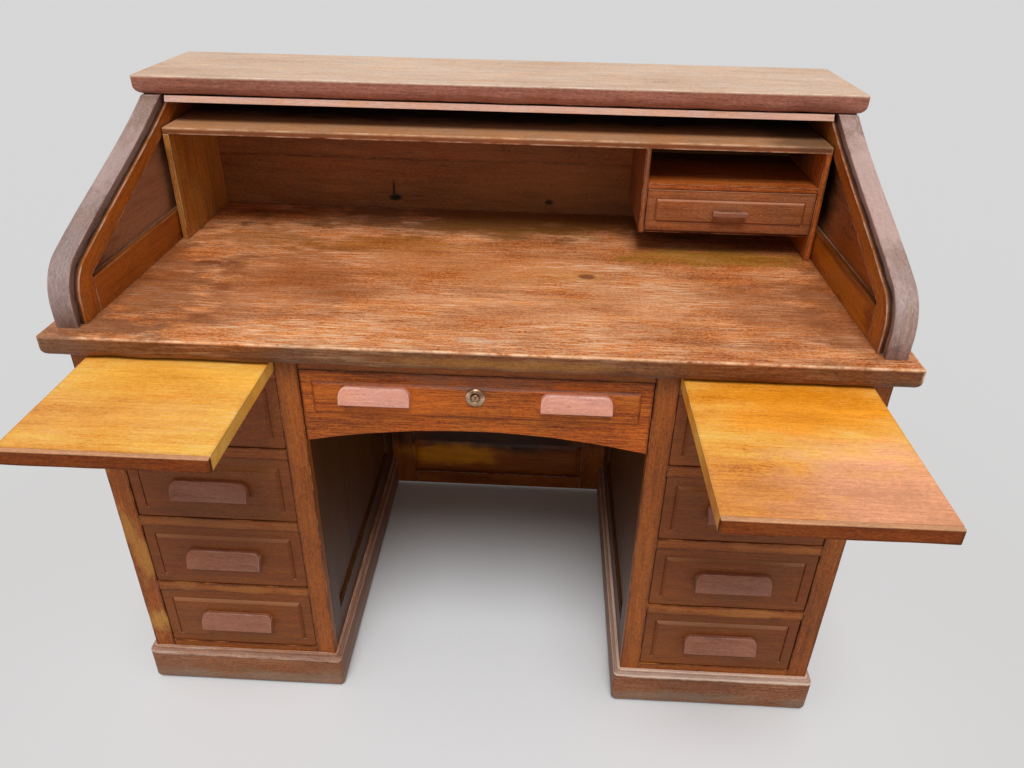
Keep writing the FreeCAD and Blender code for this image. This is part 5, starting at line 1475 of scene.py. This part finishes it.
# ------------------------------------------------------------------ pigeonholes
def pigeonholes(sizes, made):
    boards = (("pigeonhole_top", "x", "pigeonhole_top_board", "shelf_oak", 1.6),
              ("left_pigeonhole_side", "z", "left_pigeonhole_board", "inner_oak", 1.0),
              ("right_pigeonhole_side", "z", "right_pigeonhole_board", "small_shelf_oak", 1.0),
              ("pigeonhole_divider", "z", "divider_board", "small_front_oak", 1.6),
              ("pigeonhole_shelf", "x", "small_shelf_board", "small_shelf_oak", 1.2),
              ("pigeonhole_floor", "x", "small_drawer_floor", "pigeonhole_oak", 0.8))
    for node, grain, name, material, soft in boards:
        piece = Piece(name, sizes.edge_wear)
        piece.board(*span(node), grain, soft, 18.0)
        piece.finish(made[material], "case", [node], "pigeonhole_oak")
    low, high = span("pigeonhole_back")
    piece = Piece("pigeonhole_back_boards", sizes.edge_wear)
    piece.planks(low, high, "x", "z", 2, 0.4)
    piece.finish(made["nook_back_oak"], "case", ["pigeonhole_back"], "pigeonhole_oak")


def small_drawer(sizes, made):
    """Raised front, dovetailed box, and a bar handle on two posts."""
    low, high = span("small_drawer_front")
    front = Piece("small_drawer_face", sizes.edge_wear)
    front.stack(outline(rectangle(low, high), 0.8, 20.0),
                field_rings(high[1], low[1] + 3, 3, 17, 3, 0.8), "y", "x")
    front.finish(made["small_front_oak"], "small_drawer", ["small_drawer_front"],
                 "drawer_front_oak")
    drawer_box("small_drawer", sizes, made, 3, 2.0, board=7.0, rise=3.5, bottom=4.0, depth=8.0)

    low, high = span("small_drawer_handle")
    handle = Piece("small_drawer_bar", sizes.edge_wear)
    thick = 6.0
    y_mid, z_mid = low[1] + thick / 2, (low[2] + high[2]) / 2
    section = round_corners(rectangle(low, (0, low[1] + thick, high[2]), 1, 2), 2.4)
    ends = ((low[0], 0.75), (low[0] + 1, 0.93), (low[0] + 3, 1.0), (high[0] - 3, 1.0),
            (high[0] - 1, 0.93), (high[0], 0.75))
    handle.loft([[Vector((x, y_mid + (y - y_mid) * shrink, z_mid + (z - z_mid) * shrink))
                  for y, z in section] for x, shrink in ends], "x")
    for x in (low[0] + 1, high[0] - 11):
        handle.board((x, low[1] + 5, low[2] + 1), (x + 10, high[1], high[2] - 1), "y", 1.0)
    handle.finish(made["pull_walnut"], "small_drawer", ["small_drawer_handle"], "pull_walnut")


# ------------------------------------------------------------------ stage
def stage_scene(colours):
    """Pale floor, even sky, one broad soft sun, and the camera a standing person's eye gives."""
    scene = bpy.context.scene
    mesh = bpy.data.meshes.new("studio_floor")
    mesh.from_pydata([(x, y, -0.0005) for x, y in rectangle((-30, -30), (30, 30), 0, 1)],
                     [], [(0, 1, 2, 3)])
    floor = bpy.data.objects.new("studio_floor", mesh)
    scene.collection.objects.link(floor)
    paint, tree = blank("paint_floor_matt")
    spot = add(tree, "TexCoord").outputs["Object"]
    faint = add(tree, "TexNoise", {"Scale": 1.5, "Detail": 2.0}, {"Vector": spot})
    tint = add(tree, "ValToRGB", {}, {"Fac": faint})
    grey = tuple(colours.floor_grey)
    tint.color_ramp.elements[0].color = (*(part * 0.995 for part in grey), 1.0)
    tint.color_ramp.elements[1].color = (*grey, 1.0)
    # Painted light: the floor is paler and cooler near the desk, lifting the shade and warm bounce
    # there.
    away = add(tree, "VectorMath", {"operation": "LENGTH"}, {0: spot}).outputs["Value"]
    near = add(tree, "MapRange", {**SMOOTH, "From Min": 0.3, "From Max": 1.3, "To Min": 1.0,
                                  "To Max": 0.0}, {"Value": away})
    shade_lifted = add(tree, "Mix", {**COLOURS, 7: (*colours.floor_near_painted_light, 1.0)},
                 {0: near, 6: tint}).outputs[2]
    shader = add(tree, "BsdfPrincipled", {"Roughness": 0.9, "Specular IOR Level": 0.1},
                 {"Base Color": shade_lifted})
    add(tree, "OutputMaterial", {}, {"Surface": shader})
    mesh.materials.append(paint)

    world = bpy.data.worlds.new("studio")
    scene.world = world
    world.use_nodes = True
    tree = world.node_tree
    tree.nodes.clear()
    ray = add(tree, "LightPath")
    sky = add(tree, "Background", {"Color": (1.0, 1.0, 1.0, 1.0), "Strength": 0.36})
    backdrop = add(tree, "Background", {"Color": (*grey, 1.0), "Strength": 1.0})
    shows = add(tree, "Math", {"operation": "MAXIMUM"},
                {0: ray.outputs["Is Camera Ray"], 1: ray.outputs["Is Glossy Ray"]})
    seen = add(tree, "MixShader", {}, {0: shows, 1: sky, 2: backdrop})
    add(tree, "OutputWorld", {}, {"Surface": seen})

    lamp = bpy.data.lights.new("soft_sun", "SUN")
    lamp.energy, lamp.angle = 2.2, math.radians(28)
    sun = bpy.data.objects.new("soft_sun", lamp)
    sun.rotation_euler = Vector((0.0, 0.55, -1.0)).to_track_quat("-Z", "Y").to_euler()
    scene.collection.objects.link(sun)

    yaw, pitch, roll = math.radians(-2.09), math.radians(30.93), math.radians(1.21)
    forward = Vector((math.sin(yaw) * math.cos(pitch), math.cos(yaw) * math.cos(pitch),
                      -math.sin(pitch)))
    level = Vector((math.cos(yaw), -math.sin(yaw), 0.0))
    down = forward.cross(level)
    right = level * math.cos(roll) - down * math.sin(roll)
    up = -(level * math.sin(roll) + down * math.cos(roll))
    lens = bpy.data.cameras.new("camera")
    sensor, focal_widths = 36.0, 803.97 / 1024
    lens.sensor_width, lens.lens = sensor, focal_widths * sensor
    camera = bpy.data.objects.new("camera", lens)
    turn = Matrix((right, up, -forward)).transposed().to_4x4()
    camera.matrix_world = Matrix.Translation((0.097, -1.258, 1.374)) @ turn
    scene.collection.objects.link(camera)
    scene.camera = camera
    scene.view_settings.view_transform = "Standard"


# ------------------------------------------------------------------ operators
FINISHES = {}


def built(context, *works):
    """Gives each piece of work the scene's sizes and the finishes."""
    if not FINISHES:
        FINISHES.update(finishes(context.scene.desk_colours))
    for work in works:
        work(context.scene.desk_sizes, FINISHES)
    return {"FINISHED"}


class DESK_OT_stage(bpy.types.Operator):
    """Floor, light and camera"""
    bl_idname = "desk.stage"
    bl_label = "Stage"

    def execute(self, context):
        stage_scene(context.scene.desk_colours)
        return {"FINISHED"}


class DESK_OT_pedestals(bpy.types.Operator):
    """Framed sides, face frames, backs and runners of both pedestals"""
    bl_idname = "desk.pedestals"
    bl_label = "Pedestals"

    def execute(self, context):
        return built(context, pedestal_sides, face_frames, pedestal_backs, runners)


class DESK_OT_base(bpy.types.Operator):
    """Base boards with the ovolo strip over them"""
    bl_idname = "desk.base"
    bl_label = "Base boards"

    def execute(self, context):
        return built(context, base_boards)


class DESK_OT_drawers(bpy.types.Operator):
    """Pedestal drawers: raised fronts, carved pulls and dovetailed boxes"""
    bl_idname = "desk.drawers"
    bl_label = "Pedestal drawers"

    def execute(self, context):
        return built(context, drawer_fronts, drawer_boxes)


class DESK_OT_center_drawer(bpy.types.Operator):
    """Arched kneehole drawer"""
    bl_idname = "desk.center_drawer"
    bl_label = "Kneehole drawer"

    def execute(self, context):
        return built(context, center_drawer)


class DESK_OT_lock(bpy.types.Operator):
    """Rosette, cylinder, case and bolt of the lock"""
    bl_idname = "desk.lock"
    bl_label = "Lock"

    def execute(self, context):
        return built(context, lock)


class DESK_OT_slides(bpy.types.Operator):
    """Pull-out writing slides"""
    bl_idname = "desk.slides"
    bl_label = "Writing slides"

    def execute(self, context):
        return built(context, writing_slides)


class DESK_OT_kneehole(bpy.types.Operator):
    """Rail over the kneehole drawer, and the panel behind the knees"""
    bl_idname = "desk.kneehole"
    bl_label = "Kneehole"

    def execute(self, context):
        return built(context, kneehole)


class DESK_OT_tops(bpy.types.Operator):
    """Desktop and top deck"""
    bl_idname = "desk.tops"
    bl_label = "Desktop and deck"

    def execute(self, context):
        return built(context, desktop)


class DESK_OT_roll(bpy.types.Operator):
    """S-shaped roll sides and the panelled upper back"""
    bl_idname = "desk.roll"
    bl_label = "Roll sides"

    def execute(self, context):
        return built(context, roll_sides, upper_back)


class DESK_OT_tambour(bpy.types.Operator):
    """Nose, lead rail and slats of the tambour"""
    bl_idname = "desk.tambour"
    bl_label = "Tambour"

    def execute(self, context):
        return built(context, tambour)


class DESK_OT_pigeonholes(bpy.types.Operator):
    """Pigeonhole boards and the small drawer"""
    bl_idname = "desk.pigeonholes"
    bl_label = "Pigeonholes"

    def execute(self, context):
        return built(context, pigeonholes, small_drawer)


OPERATORS = (DESK_OT_stage, DESK_OT_pedestals, DESK_OT_base, DESK_OT_drawers, DESK_OT_center_drawer,
             DESK_OT_lock, DESK_OT_slides, DESK_OT_kneehole, DESK_OT_tops, DESK_OT_roll,
             DESK_OT_tambour, DESK_OT_pigeonholes)


class DESK_PT_panel(bpy.types.Panel):
    """Lists the desk's sizes, colours and pieces"""
    bl_idname = "DESK_PT_panel"
    bl_label = "Roll-top desk"
    bl_space_type = "VIEW_3D"
    bl_region_type = "UI"
    bl_category = "Desk"

    def draw(self, context):
        for group in (context.scene.desk_sizes, context.scene.desk_colours):
            column = self.layout.column(align=True)
            for name in group.__annotations__:
                column.prop(group, name)
        for operator in OPERATORS:
            self.layout.operator(operator.bl_idname)


def register():
    for kind in (DeskSizes, DeskColours, *OPERATORS, DESK_PT_panel):
        bpy.utils.register_class(kind)
    bpy.types.Scene.desk_sizes = PointerProperty(type=DeskSizes)
    bpy.types.Scene.desk_colours = PointerProperty(type=DeskColours)


def unregister():
    del bpy.types.Scene.desk_colours
    del bpy.types.Scene.desk_sizes
    for kind in (DESK_PT_panel, *reversed(OPERATORS), DeskColours, DeskSizes):
        bpy.utils.unregister_class(kind)


def main():
    register()
    for operator in OPERATORS:
        group, name = operator.bl_idname.split(".")
        getattr(getattr(bpy.ops, group), name)()


if __name__ == "__main__":
    main()
